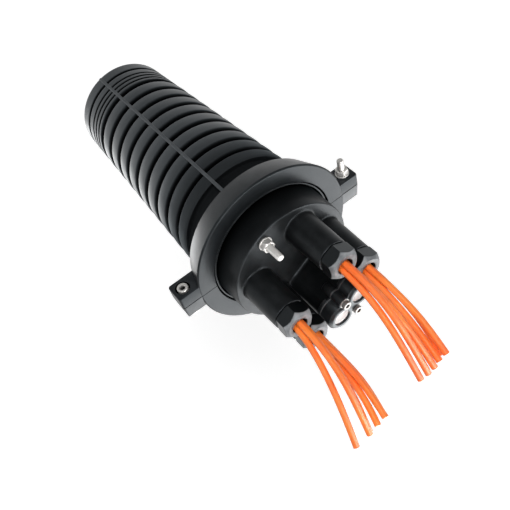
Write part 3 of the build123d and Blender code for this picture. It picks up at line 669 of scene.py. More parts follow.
@dataclass(frozen=True)
class MouldedPlastic:
    """Black or coloured satin plastic from a mould, paler on edges for rubbing and a painted highlight, with
    painted shade in its recesses.
    """

    name: str
    colour: Colour = (0.0030, 0.0035, 0.0041)
    # pale colour for edges, dust and scrapes, which also carries painted highlights and reflections
    rubbed: Colour = (0.040, 0.043, 0.047)
    roughness: float = 0.36
    grain: float = 1400.0
    depth: float = 0.00004
    edge: float = 0.6
    dust: float = 0.35
    rubbed_rough: float = -0.08
    specular: float = 0.5
    sheen: Colour = (0.84, 0.94, 1.0)
    rubbed_share: float = 0.5
    painted_shade_share: float = 0.08
    painted_shade_rough: float = 0.55

    def make(self, grain: bpy.types.NodeTree, edge: bpy.types.NodeTree) -> bpy.types.Material:
        """Builds the material on the shared groups.

        Args:
            grain: the group of the moulded grain.
            edge: the group of the paler edges and of the painted shade.

        Returns:
            The material.
        """
        made, nodes, shader = principled(self.name)
        moulded = nodes.add("ShaderNodeGroup", node_tree=grain)
        moulded.inputs["Grain"].default_value = self.grain
        moulded.inputs["Depth"].default_value = self.depth
        worn_and_lit = nodes.add("ShaderNodeGroup", node_tree=edge)
        worn_and_lit.inputs["Amount"].default_value = self.edge
        mask, painted_shade = worn_and_lit.outputs["Mask"], worn_and_lit.outputs["Painted Shade"]
        # edges go paler, partly for rubbing and partly as a painted highlight
        share = nodes.maths("ADD", nodes.maths("MULTIPLY", mask, self.rubbed_share),
                            nodes.maths("MULTIPLY", moulded.outputs["Dust"], self.dust))
        base = nodes.blend(share, (*self.colour, 1), (*self.rubbed, 1))
        # painted shade: recesses get a near-black colour, more roughness and full metallic so that they stay
        # dark
        shadow = tuple(self.painted_shade_share * level for level in self.colour)
        nodes.put(shader.inputs["Base Color"], nodes.blend(painted_shade, base, (*shadow, 1)))
        rough = nodes.maths("ADD", moulded.outputs["Rough"], self.roughness)
        rough = nodes.maths("ADD", rough, nodes.maths("MULTIPLY", mask, self.rubbed_rough))
        rough = nodes.maths("ADD", rough, nodes.maths("MULTIPLY", painted_shade, self.painted_shade_rough))
        nodes.put(shader.inputs["Roughness"], rough)
        nodes.put(shader.inputs["Metallic"], painted_shade)
        nodes.put(shader.inputs["Normal"], moulded.outputs["Normal"])
        shader.inputs["Specular IOR Level"].default_value = self.specular
        shader.inputs["Specular Tint"].default_value = (*self.sheen, 1)
        return made


@dataclass(frozen=True)
class PlatedSteel:
    """Plated steel with a fine grain, a little dulling and painted shade in its recesses."""

    name: str
    colour: Colour = (0.66, 0.65, 0.63)
    dull: Colour = (0.55, 0.53, 0.50)
    # near-black colour of the painted shade in socket floors and other recesses
    socket: Colour = (0.012, 0.012, 0.012)
    roughness: float = 0.40
    dull_rough: float = 0.18
    metallic: float = 0.82

    def make(self) -> bpy.types.Material:
        """Builds the material.

        Returns:
            The material.
        """
        made, nodes, shader = principled(self.name)
        place = nodes.place()
        lines = nodes.noise(place, 2600.0, 2.0)
        share = nodes.spread(nodes.noise(place, 240.0, 6.0, 0.7), 0.45, 0.7, 0.0, 0.7)
        colour = nodes.blend(share, (*self.colour, 1), (*self.dull, 1))
        # painted shade in recesses
        colour = nodes.blend(nodes.painted_shade(nodes.wear_and_painted_light()), colour, (*self.socket, 1))
        nodes.put(shader.inputs["Base Color"], colour)
        nodes.put(shader.inputs["Roughness"],
                  nodes.maths("ADD", nodes.maths("MULTIPLY", share, self.dull_rough), self.roughness))
        nodes.put(shader.inputs["Normal"], nodes.bump(0.4, 0.00002, lines))
        shader.inputs["Metallic"].default_value = self.metallic
        return made


@dataclass(frozen=True)
class CableJacket:
    """Bright orange jacket with a faint grain and slow changes of tone."""

    name: str
    colour: Colour = (0.95, 0.238, 0.038)
    deep: Colour = (0.88, 0.135, 0.018)
    deep_share: float = 0.8
    roughness: float = 0.38
    glow_depth: Colour = (0.003, 0.001, 0.0004)
    glow_weight: float = 0.08

    def make(self) -> bpy.types.Material:
        """Builds the material.

        Returns:
            The material.
        """
        made, nodes, shader = principled(self.name)
        place = nodes.place()
        slow = nodes.noise(place, 26.0, 3.0)
        fine = nodes.noise(place, 1500.0, 2.0)
        tone = nodes.maths("MULTIPLY", nodes.spread(slow, 0.35, 0.65), self.deep_share)
        nodes.put(shader.inputs["Base Color"], nodes.blend(tone, (*self.colour, 1), (*self.deep, 1)))
        nodes.put(shader.inputs["Roughness"],
                  nodes.spread(slow, 0.3, 0.7, self.roughness - 0.05, self.roughness + 0.06))
        nodes.put(shader.inputs["Normal"], nodes.bump(0.35, 0.00003, fine))
        shader.inputs["Subsurface Weight"].default_value = self.glow_weight
        shader.inputs["Subsurface Radius"].default_value = self.glow_depth
        return made


@dataclass(frozen=True)
class ClearCover:
    """Clear plastic of the tray cover."""

    name: str
    tint: Colour = (0.86, 0.90, 0.92)
    clearness: float = 0.9
    bending: float = 1.49

    def make(self) -> bpy.types.Material:
        """Builds the material.

        Returns:
            The material.
        """
        made, nodes, shader = principled(self.name)
        haze = nodes.noise(nodes.place(), 60.0, 4.0)
        nodes.put(shader.inputs["Roughness"], nodes.spread(haze, 0.3, 0.7, 0.05, 0.16))
        shader.inputs["Base Color"].default_value = (*self.tint, 1)
        shader.inputs["Transmission Weight"].default_value = self.clearness
        shader.inputs["IOR"].default_value = self.bending
        return made


def principled(name: str) -> tuple[bpy.types.Material, Nodes, bpy.types.Node]:
    """A new material with one Principled shader on its output.

    Args:
        name: the material's name.

    Returns:
        The material, its nodes and the shader.
    """
    made = bpy.data.materials.new(name)
    nodes = cleared(made)
    shader = nodes.add("ShaderNodeBsdfPrincipled")
    nodes.add("ShaderNodeOutputMaterial", {0: shader.outputs[0]})
    return made, nodes, shader


class FinishSet:
    """Every finish of the closure, made once and shared by its pieces."""

    def __init__(self) -> None:
        """Makes the shared groups and the materials."""
        grain, edge = moulded_grain(), worn_and_lit_edges()

        def plastic(name: str, **values: object) -> bpy.types.Material:
            """A moulded plastic on the shared groups."""
            return MouldedPlastic(name, **values).make(grain, edge)

        self.dome = plastic("dome plastic", colour=(0.0330, 0.0370, 0.0405), rubbed=(0.075, 0.080, 0.085),
                            roughness=0.40, edge=1.0, dust=0.10, depth=0.00006, specular=0.40)
        # its pale colour also gives the front face painted light
        self.base = plastic("base plastic", colour=(0.0014, 0.0016, 0.0018), rubbed=(0.062, 0.066, 0.070),
                            roughness=0.38, specular=0.19)
        self.clamp = plastic("clamp plastic", colour=(0.0038, 0.0046, 0.0054), depth=0.00007, edge=0.8,
                             specular=0.21)
        # its pale colour is a painted reflection on the gland nuts' turned cone faces
        self.nut = plastic("gland nut plastic", colour=(0.0016, 0.0018, 0.0021),
                           rubbed=(0.440, 0.455, 0.470), roughness=0.34, edge=1.0, dust=0.02,
                           rubbed_rough=0.3)
        self.cap = plastic("oval cap plastic", colour=(0.0016, 0.0018, 0.0021), edge=0.7)
        self.rubber = plastic("seal rubber", colour=(0.070, 0.071, 0.073), rubbed=(0.10, 0.10, 0.10),
                              roughness=0.62, depth=0.00008, edge=0.2)
        self.ring = plastic("pressure ring plastic", colour=(0.16, 0.17, 0.18), rubbed=(0.3, 0.3, 0.3),
                            roughness=0.45)
        self.plug = plastic("white plug plastic", colour=(0.95, 0.95, 0.94), rubbed=(0.82, 0.81, 0.79),
                            roughness=0.42, dust=0.06, edge=0.25, sheen=(1.0, 1.0, 1.0))
        self.tray = plastic("tray plastic", colour=(0.035, 0.038, 0.042), rubbed=(0.12, 0.12, 0.13),
                            roughness=0.42)
        self.steel = PlatedSteel("plated steel").make()
        self.screw = PlatedSteel("dull screw steel", colour=(0.30, 0.29, 0.28), dull=(0.16, 0.155, 0.15),
                                 roughness=0.46).make()
        self.bracket = PlatedSteel("bracket aluminium", colour=(0.70, 0.71, 0.72), dull=(0.55, 0.56, 0.57),
                                   roughness=0.34).make()
        self.jacket = CableJacket("cable jacket").make()
        self.cover = ClearCover("clear cover").make()
        self.by_slot: dict[str, bpy.types.Material] = {
            "dome_black": self.dome, "base_black": self.base, "clamp_black": self.clamp,
            "nut_black": self.nut, "cap_black": self.cap, "seal_rubber": self.rubber,
            "ring_plastic": self.ring, "plug_white": self.plug, "cable_orange": self.jacket,
            "tray_plastic": self.tray, "cover_clear": self.cover, "bracket_aluminium": self.bracket,
            "steel": self.steel}

    def dress_frame(self, frame: dict) -> None:
        """Gives each of the frame's own nodes the material of its slot.

        Args:
            frame: the loaded frame.
        """
        slots = {part["node"]: part["material_slot"] for part in frame["record"]["subparts"]}
        for name, node in frame["nodes"].items():
            node.data.materials.clear()
            node.data.materials.append(self.by_slot[slots[name]])


# Sub-assemblies


@dataclass
class Dome:
    """The corrugated cover: neck, nine wide bands, fine grooves near the closed end and two long ribs."""

    length: float = 333.0
    flange_radius: float = 86.4
    neck_radius: float = 71.5
    neck_length: float = 43.5
    first_radius: float = 79.0
    end_radius: float = 65.0
    end_round: float = 8.0
    end_rise: float = 2.5
    wall: float = 3.0
    groove_start: float = 63.5
    groove_pitch: float = 25.3
    groove_count: int = 9
    groove_depth: float = 4.0
    groove_width: float = 2.7
    # the shade widths and shares below set painted shade in the grooves, on the neck and on the bands next to
    # the clamp ring
    groove_shade: tuple[float, float] = (4.6, 2.3)
    crown: float = 1.3
    end_crown: float = 0.35
    neck_step: tuple[float, float] = (1.6, 1.4)
    neck_shade: float = 0.75
    near_ring_shade: float = 0.5
    near_ring: tuple[float, float] = (115.0, 50.0)
    fine_start: float = 276.6
    fine_pitch: float = 8.2
    fine_count: int = 3
    fine_depth: float = 1.7
    fine_width: float = 0.95
    fine_shade: tuple[float, float] = (2.0, 1.1)
    end_groove: float = 307.0
    end_groove_depth: float = 1.3
    end_groove_width: float = 2.0
    end_groove_shade: float = 2.2
    inner_end_radius: float = 50.0
    inner_bend_radius: float = 58.5
    rib_angles: tuple[float, float] = (105.7, 285.7)
    rib_start: float = -15.8
    rib_width: float = 3.8
    rib_height: float = 0.5
    rib_round: float = 0.6
    rib_root: float = 7.6
    rib_bend: float = 0.9
    # the rib is painted paler all over, partly for rubbing and partly as a highlight
    rib_wear_and_highlight: float = 0.8
    steps: int = 150
    rows: int = 380

    @property
    def end_start(self) -> float:
        """Where the rounding to the end face begins."""
        return -self.length + self.end_rise + self.end_round

    @property
    def grooves(self) -> Array:
        """Places of the wide grooves along the axis."""
        return -(self.groove_start + self.groove_pitch * np.arange(self.groove_count))

    @property
    def fine_grooves(self) -> Array:
        """Places of the fine grooves along the axis."""
        return -(self.fine_start + self.fine_pitch * np.arange(self.fine_count))

    def taper(self, x: Array) -> Array:
        """Radius over the bands: falls evenly from the first band to the closed end."""
        share = (-x - self.neck_length) / (self.length - self.end_round - self.neck_length)
        return self.first_radius + (self.end_radius - self.first_radius) * share

    def wall_radius(self, x: Array) -> Array:
        """Radius of the corrugated wall.

        The taper, less a crown that falls off towards both sides of each band as the square of the distance
        from its middle, less a bell at each groove: depth times exp(-(distance / width)^power). The power is
        2.4 at the wide grooves, 1.6 at the step to the neck, and 2 at the fine grooves and the last one.

        Args:
            x: places along the axis.

        Returns:
            The radius at each place.
        """
        grooves = self.grooves
        middle = -(self.groove_start + self.groove_pitch * (np.arange(-1, self.groove_count) + 0.5))
        middle[0] = -(self.neck_length + self.groove_start) / 2
        off = np.abs(x[:, None] - grooves).min(1)
        side = np.abs(x[:, None] - middle).min(1) / (self.groove_pitch / 2)
        banded = x > grooves[-1]
        crown = np.where(banded, self.crown * np.clip(side, 0, 1) ** 2, self.end_crown * self.crown)
        radius = self.taper(x) - crown - self.groove_depth * np.exp(-(off / self.groove_width) ** 2.4)
        depth, width = self.neck_step
        radius -= depth * np.exp(-(np.abs(x + self.neck_length) / width) ** 1.6)
        fine = np.abs(x[:, None] - self.fine_grooves).min(1)
        radius -= self.fine_depth * np.exp(-(fine / self.fine_width) ** 2)
        radius -= self.end_groove_depth * np.exp(-(np.abs(x + self.end_groove) / self.end_groove_width) ** 2)
        return radius

    def painted_shade(self, x: Array) -> Array:
        """How much shade is painted on each place, from 0 on a band to 1 on a groove's floor.

        Each groove gives exp(-(distance / width)^4), with one width behind it and another before it, and the
        bands next to the clamp ring get painted shade for its shadow. The darkest counts.

        Args:
            x: places along the axis.

        Returns:
            The painted shade at each place.
        """

        def groove(places: Array, widths: tuple[float, float]) -> Array:
            """Shade of the nearest of some grooves."""
            off = x[:, None] - places
            return np.exp(-(np.where(off < 0, -off / widths[0], off / widths[1])) ** 4).max(1)

        last = np.exp(-(np.abs(x + self.end_groove + 0.5) / self.end_groove_shade) ** 4)
        far, fade = self.near_ring
        shade = self.near_ring_shade * np.clip((x + far) / fade, 0, 1)
        wide = np.maximum(groove(self.grooves, self.groove_shade), shade)
        return np.maximum(wide, np.maximum(groove(self.fine_grooves, self.fine_shade), last))

    def shell(self) -> Skin:
        """The whole wall, outside and inside, as one turned skin.

        Returns:
            The skin.
        """
        mouth = rounded([(0, self.neck_radius - self.wall), (0, self.flange_radius),
                         (-7.0, self.flange_radius), (-10.0, 78.2), (-10.0, self.neck_radius),
                         (-self.neck_length, self.neck_radius),
                         (-self.neck_length, self.first_radius - self.neck_step[0])],
                        [0, 0.5, 0.5, 0.4, 0.6, 1.8, 0], 5, closed=False)
        x = np.linspace(-self.neck_length - 0.4, self.end_start, self.rows)
        bands = np.stack([x, self.wall_radius(x)], axis=1)
        angle = np.linspace(0, np.pi / 2, 12)[1:]
        start = bands[-1]
        end = np.stack([start[0] - self.end_round * np.sin(angle),
                        start[1] - self.end_round * (1 - np.cos(angle))], axis=1)
        across = np.linspace(1, 0, 10)[1:]
        cap = np.stack([end[-1, 0] - self.end_rise * (1 - across ** 2), end[-1, 1] * across], axis=1)
        inner = np.array([(-self.length + self.wall, 0.0),
                          (self.end_start - self.end_round + self.wall, self.inner_end_radius),
                          (self.end_start, self.inner_bend_radius),
                          (-self.neck_length, self.neck_radius - self.wall),
                          (-0.01, self.neck_radius - self.wall)])
        profile = np.concatenate([mouth, bands, end, cap, inner])
        # painted shade on the neck behind the clamp ring and in the grooves
        dark = np.zeros(len(profile))
        dark[:len(mouth)] = self.neck_shade * ((mouth[:, 0] < -10.2) & (mouth[:, 0] > -self.neck_length - 1))
        dark[len(mouth):len(mouth) + len(x)] = self.painted_shade(x)
        wear_and_painted_light = np.where(dark > 0.02, -dark, convexity(profile))
        return turned(profile, steps=self.steps, wear_and_painted_light=wear_and_painted_light)

    def rib(self, angle: float) -> Skin:
        """One rib: a round-topped section carried along the wall, a little above the bands.

        Across, the section is w = half width * sin(s) over s from -90 to 90 degrees, and its height falls
        off as the sixth power of sin(s). Along, it follows the taper and then the end's rounding.

        Args:
            angle: where the rib stands around the axis, in degrees.

        Returns:
            The rib's skin.
        """
        straight = np.linspace(self.rib_start, self.end_start, 60)
        bend = np.linspace(0, self.rib_bend, 8)[1:]
        x = np.concatenate([straight, self.end_start - self.end_round * np.sin(bend)])
        drop = np.concatenate([np.zeros(len(straight)), self.end_round * (1 - np.cos(bend))])
        top = np.where(x > self.end_start, self.taper(x), self.end_radius) - drop + self.rib_height
        s = np.linspace(-np.pi / 2, np.pi / 2, 13)
        across = self.rib_width / 2 * np.sin(s)
        height = top[:, None] - self.rib_round * np.abs(np.sin(s))[None, :] ** 6
        root = top[:, None] - self.rib_root
        height = np.concatenate([height, root, root], axis=1)
        across = np.concatenate([across, [self.rib_width / 2, -self.rib_width / 2]])[None, :]
        turn = np.radians(angle)
        y = height * np.cos(turn) - across * np.sin(turn)
        z = height * np.sin(turn) + across * np.cos(turn)
        points = np.stack([np.broadcast_to(x[:, None], y.shape), y, z], axis=-1)
        closing = points[[0, -1]].mean(1, keepdims=True).repeat(points.shape[1], axis=1)
        # painted paler all over, for rubbing and as a highlight
        rubbed = np.full((1, points.shape[1]), self.rib_wear_and_highlight)
        points = np.concatenate([closing[:1], points, closing[1:]])
        return Skin.grid(points, rubbed, close_rows=False).outward()

    def build(self, finishes: FinishSet) -> None:
        """Makes the cover and its ribs."""
        ribs = [self.rib(angle) for angle in self.rib_angles]
        piece("dome_cover", [self.shell(), *ribs], finishes.dome, Body.CLOSURE,
              ("dome_shell",), sharp=50)


@dataclass
class ClampRing:
    """The two-part clamp ring: a rim that widens to the front, a vee groove inside, two ears."""

    width: float = 31.0
    front_radius: float = 100.0
    back_radius: float = 90.5
    mouth_radius: float = 78.6
    groove_radius: float = 86.8
    gap: float = 0.4
    ear_low: float = 86.0
    ear_reach: float = 123.0
    ear_back: float = -10.2
    ear_front: float = 15.0
    ear_top: float = 15.8
    ear_bottom: float = -19.5
    ear_draft: float = 2.0
    bolt_reach: float = 111.3
    hole_radius: float = 4.4
    recess_radius: float = 8.0
    recess_depth: float = 7.2
    front_bevel: float = 1.6
    groove_halves: tuple[float, float] = (7.5, 10.5)
    lean_radius: float = 92.0
    core_radius: float = 88.0
    steps: int = 97
    ear_steps: int = 160
    ear_corner: float = 3.0
    ear_edge: float = 0.8

    @property
    def bolt_x(self) -> float:
        """Where the bolts stand along the closure's axis."""
        return (self.ear_back + self.ear_front) / 2

    def section(self) -> Array:
        """The ring's section with its edges rounded.

        Returns:
            Closed rows of (place along the axis, radius).
        """
        half, bevel = self.width / 2, self.front_bevel
        floor, mouth = self.groove_halves
        return rounded([(-half, self.mouth_radius), (-half, self.back_radius),
                        (half - bevel, self.front_radius), (half, self.front_radius - bevel),
                        (half, self.mouth_radius), (mouth, self.mouth_radius), (floor, self.groove_radius),
                        (-floor, self.groove_radius), (-mouth, self.mouth_radius)],
                       [0.7, 1.2, 1.0, 1.0, 0.9, 0.5, 0.5, 0.5, 0.5], 4)

    def half_ring(self, upper: bool) -> list[Skin]:
        """One half of the ring, from just past the parting to just before it, with closed ends.

        Args:
            upper: whether it is the upper half.

        Returns:
            The skins of its body and of its two ends.
        """
        section = self.section()
        lean = self.gap / self.lean_radius
        start = (0.0 if upper else np.pi) + lean
        # painted shade on the ring's inner faces
        inner = (section[:, 1] < self.mouth_radius + 0.35) & (np.abs(section[:, 0]) < self.width / 2 - 0.75)
        wear_and_painted_light = np.where(inner, -1.0, convexity(section))
        body = turned(section, steps=self.steps, start=start, span=np.pi - 2 * lean, wear_and_painted_light=wear_and_painted_light)
        points = body.points.reshape(self.steps, len(section), 3)
        ends = []
        for row in (0, -1):
            ring = points[row]
            angle = start if row == 0 else start + np.pi - 2 * lean
            core = np.array([0.0, self.core_radius * np.cos(angle), self.core_radius * np.sin(angle)])
            cap = Skin.grid(np.stack([ring, np.broadcast_to(core, ring.shape)]), close_rows=False)
            towards = np.array([0.0, -np.sin(angle), np.cos(angle)]) * (-1 if row == 0 else 1)
            corners = cap.points[cap.faces]
            normal = np.cross(corners[:, 1] - corners[:, 0], corners[:, 3] - corners[:, 0]).sum(0)
            if normal @ towards < 0:
                cap.faces = cap.faces[:, ::-1].copy()
            ends.append(cap)
        return [body, *ends]

    def ear(self, side: int, upper: bool) -> Skin:
        """One half of an ear: a block with rounded edges, drilled for its bolt.

        Each ring of the skin is the block's outline set in by a little, or a circle round the bolt, so the
        surface runs down the outside, across the underside and back up the hole.

        Args:
            side: -1 for the left ear or 1 for the right.
            upper: whether it is the upper half.

        Returns:
            The ear's skin.
        """
        middle = (self.bolt_x, side * self.bolt_reach)
        low, high = sorted((side * self.ear_low, side * self.ear_reach))
        outline = rounded([(self.ear_back, low), (self.ear_front, low), (self.ear_front, high),
                           (self.ear_back, high)], self.ear_corner, 10)
        gap = np.linalg.norm(np.roll(outline, -1, axis=0) - outline, axis=1)
        place = np.concatenate([[0], np.cumsum(gap)])
        even = np.linspace(0, place[-1], self.ear_steps, endpoint=False)
        loop = np.concatenate([outline, outline[:1]])
        even = np.unique(np.concatenate([even, place[:-1]]))
        outline = np.stack([np.interp(even, place, loop[:, 0]), np.interp(even, place, loop[:, 1])], axis=1)
        angle = np.arctan2(outline[:, 1] - middle[1], outline[:, 0] - middle[0])

        def hole(radius: float) -> Array:
            """A circle round the bolt with a point for each of the outline's."""
            return np.stack([middle[0] + radius * np.cos(angle), middle[1] + radius * np.sin(angle)], axis=1)

        top, bottom, draft = self.ear_top, self.gap, 0.0
        if not upper:
            top, bottom, draft = self.ear_bottom, -self.gap, self.ear_draft
        sign = 1 if upper else -1
        edge = self.ear_edge
        rings = [(hole(self.hole_radius), bottom), (inset(outline, 0.25), bottom),
                 (outline, bottom + sign * 0.25), (inset(outline, draft), top - sign * edge),
                 (inset(outline, draft + 0.12), top - sign * 0.45),
                 (inset(outline, draft + 0.45), top - sign * 0.12), (inset(outline, draft + edge), top)]
        if upper and side < 0:
            rings += [(hole(self.recess_radius + 0.4), top), (hole(self.recess_radius), top - 0.4),
                      (hole(self.recess_radius), top - self.recess_depth),
                      (hole(self.hole_radius), top - self.recess_depth)]
        else:
            rings += [(hole(self.hole_radius + 0.3), top), (hole(self.hole_radius), top - sign * 0.3)]
        block = stacked(rings, Along.Z, closed=True)
        if upper and side < 0:
            # painted shade in the screw's recess
            block.wear_and_painted_light.reshape(len(rings), -1)[-3:] = -1.0
        return block

    def build(self, finishes: FinishSet) -> None:
        """Makes both halves.

        Args:
            finishes: every finish.
        """
        for name, upper in (("clamp_upper", True), ("clamp_lower", False)):
            skins = self.half_ring(upper) + [self.ear(side, upper) for side in (-1, 1)]
            piece(f"{name}_moulding", skins, finishes.clamp, Body.CLOSURE, (name,))


@dataclass
class OvalPort:
    """Places and outlines that the oval port's tower, flange, seal and cap share."""

    centre: tuple[float, float] = around(36.0, 300.0)
    turn: float = 30.0
    half_spacing: float = 15.5
    lug_reach: float = 12.8
    lug_radius: float = 6.4
    waist: float = 11.0

    def place(self, along: float, across: float) -> tuple[float, float]:
        """Y and Z of a place in the port's own directions."""
        turn = np.radians(self.turn)
        return (self.centre[0] + along * float(np.cos(turn)) - across * float(np.sin(turn)),
                self.centre[1] + along * float(np.sin(turn)) + across * float(np.cos(turn)))

    def outline(self, lobe: float, lugs: bool, waist: float | None = None, steps: int = 240,
                blend: float = 0.5) -> Array:
        """Outline as a distance from the centre in every direction.

        The distance is the smooth maximum of the far side of each lobe's circle, of the straight waist
        between them and of the two lugs: blend * ln(sum of exp(distance / blend)).

        Args:
            lobe: radius of the lobes.
            lugs: whether the two lugs stand out.
            waist: half the width between the lobes, where it isn't as wide as they are.
            steps: number of directions.
            blend: width over which the forms run into each other.

        Returns:
            The outline, as Y and Z of each point.
        """
        angle = np.linspace(0, FULL_TURN, steps, endpoint=False)
        along, across = np.cos(angle), np.sin(angle)

        def far_side(centre: tuple[float, float], radius: float) -> Array:
            """Distance to the far side of a circle, or nothing where the ray misses it.

            Args:
                centre: the circle's centre, in the port's own directions.
                radius: its radius.

            Returns:
                The distance in each direction.
            """
            reach = centre[0] * along + centre[1] * across
            square = radius ** 2 - centre[0] ** 2 - centre[1] ** 2 + reach ** 2
            return np.where(square > 0, reach + np.sqrt(np.maximum(square, 0)), 0)

        half_waist = waist or lobe
        forms = [far_side((side * self.half_spacing, 0), lobe) for side in (-1, 1)]
        forms.append(np.minimum(half_waist / np.maximum(np.abs(across), 1e-6),
                                self.half_spacing / np.maximum(np.abs(along), 1e-6)))
        if lugs:
            forms += [far_side((0, side * self.lug_reach), self.lug_radius) for side in (-1, 1)]
            forms.append(np.minimum(self.lug_radius / np.maximum(np.abs(along), 1e-6),
                                    self.lug_reach / np.maximum(np.abs(across), 1e-6)))
        radius = blend * np.log(np.exp(np.stack(forms) / blend).sum(0))
        turned_to = angle + np.radians(self.turn)
        return np.stack([self.centre[0] + radius * np.cos(turned_to),
                         self.centre[1] + radius * np.sin(turned_to)], axis=1)


@dataclass
class Base:
    """The base moulding: shoulder, skirt, face, four round tubes and the oval tower."""

    oval: OvalPort
    ports: list[tuple[float, float]]
    face: float = 48.3
    lip_radius: float = 77.4
    lip_inside: float = 75.1
    lip_end: float = 14.0
    recess_floor: float = 10.6
    root_radius: float = 73.6
    face_radius: float = 73.1
    tube_root: float = 19.3
    tube_tip: float = 18.2
    tube_end: float = 102.5
    spigot_radius: float = 15.0
    spigot_end: float = 112.0
    bore_radius: float = 13.0
    oval_end: float = 100.0
    oval_lobe: float = 15.6
    flange_lobe: float = 16.5
    root_fillet: float = 3.0
    # painted light on the front face
    painted_face_light: float = 0.75
    flange_radius: float = 86.4
    inner_radius: float = 68.0
    wall: float = 5.0

    def bowl(self) -> Skin:
        """Flange, shoulder, skirt and face, turned as a closed wall, with painted shade in the gap behind the
        lip and painted light on the face.

        Returns:
            The skin.
        """
        profile = rounded([(0, self.inner_radius), (0, self.flange_radius), (7.0, self.flange_radius),
                           (9.9, 78.3), (9.9, self.lip_radius),
                           (self.lip_end, self.lip_radius), (self.lip_end, self.lip_inside),
                           (self.recess_floor, self.lip_inside), (self.recess_floor, self.root_radius),
                           (self.face, self.face_radius), (self.face, 0.0), (self.face - self.wall, 0.0),
                           (self.face - self.wall, self.inner_radius)],
                          [0.3, 0.4, 0.4, 0.3, 0.3, 0.8, 0.8, 0.3, 0.3, 1.6, 0, 0, 1.0], 5)
        x, radius = profile[:, 0], profile[:, 1]
        # painted shade in the gap behind the lip, painted light on the front face
        gap = (x > 9) & (x < self.lip_end - 0.85) & (radius > self.root_radius - 0.4)
        front_face = x > self.face - 0.2
        return turned(profile, steps=180,
                      wear_and_painted_light=np.where(gap, -1.0, np.where(front_face, self.painted_face_light, convexity(profile))))

    def tube(self, centre: tuple[float, float]) -> Skin:
        """One port tube, with a fillet at its root and a spigot for the gland nut at its end.

        Args:
            centre: Y and Z of the tube's axis.

        Returns:
            The skin.
        """
        profile = rounded([(self.face - 2, self.tube_root + self.root_fillet + 1.5),
                           (self.face + 0.02, self.tube_root + self.root_fillet),
                           (self.face + 0.3, self.tube_root),
                           (self.tube_end, self.tube_tip), (self.tube_end, self.spigot_radius),
                           (self.spigot_end, self.spigot_radius), (self.spigot_end, self.bore_radius),
                           (self.face - 2, self.bore_radius)],
                          [0, 0, 3.2, 1.0, 0.3, 0.5, 0.5, 0], 6)
        return turned(profile, centre, steps=84)

    def tower(self) -> list[Skin]:
        """The oval tower with its fillet, and the lobed flange on its end.

        Returns:
            The skins of the tower, its flange and its two bosses.
        """
        wall = self.oval.outline(self.oval_lobe, lugs=False)
        fillet = self.root_fillet
        bend = np.linspace(0, np.pi / 2, 6)
        rings = [(inset(wall, -fillet), self.face - 1)]
        rings += [(inset(wall, -fillet * (1 - np.sin(a))), self.face + fillet * (1 - np.cos(a)))
                  for a in bend]
        rings += [(wall, self.oval_end - 1)]
        flange = self.oval.outline(self.flange_lobe, lugs=True, waist=self.oval.waist)
        plate = [(inset(flange, 3), self.oval_end - 4), (inset(flange, 0.5), self.oval_end - 4),
                 (flange, self.oval_end - 3.5), (flange, self.oval_end - 0.4),
                 (inset(flange, 0.4), self.oval_end), (inset(flange, 3), self.oval_end)]
        top = flat_face(inset(flange, 3), [], self.oval_end, Along.X)
        under = flat_face(inset(flange, 3), [], self.oval_end - 4, Along.X, up=False)
        lug = self.oval.lug_radius
        boss = rounded([(self.oval_end - 15, 0), (self.oval_end - 15, lug), (self.oval_end - 1, lug),
                        (self.oval_end - 1, 0)], [0, 2.5, 0, 0], 6, closed=False)
        bosses = [turned(boss, self.oval.place(0, side * self.oval.lug_reach), steps=48, closed=False)
                  for side in (-1, 1)]
        return [stacked(rings, Along.X), stacked(plate, Along.X), top, under, *bosses]

    def build(self, finishes: FinishSet) -> None:
        """Makes the base as one piece."""
        skins = [self.bowl(), *[self.tube(centre) for centre in self.ports], *self.tower()]
        piece("base_moulding", skins, finishes.base, Body.CLOSURE, ("base_housing",))


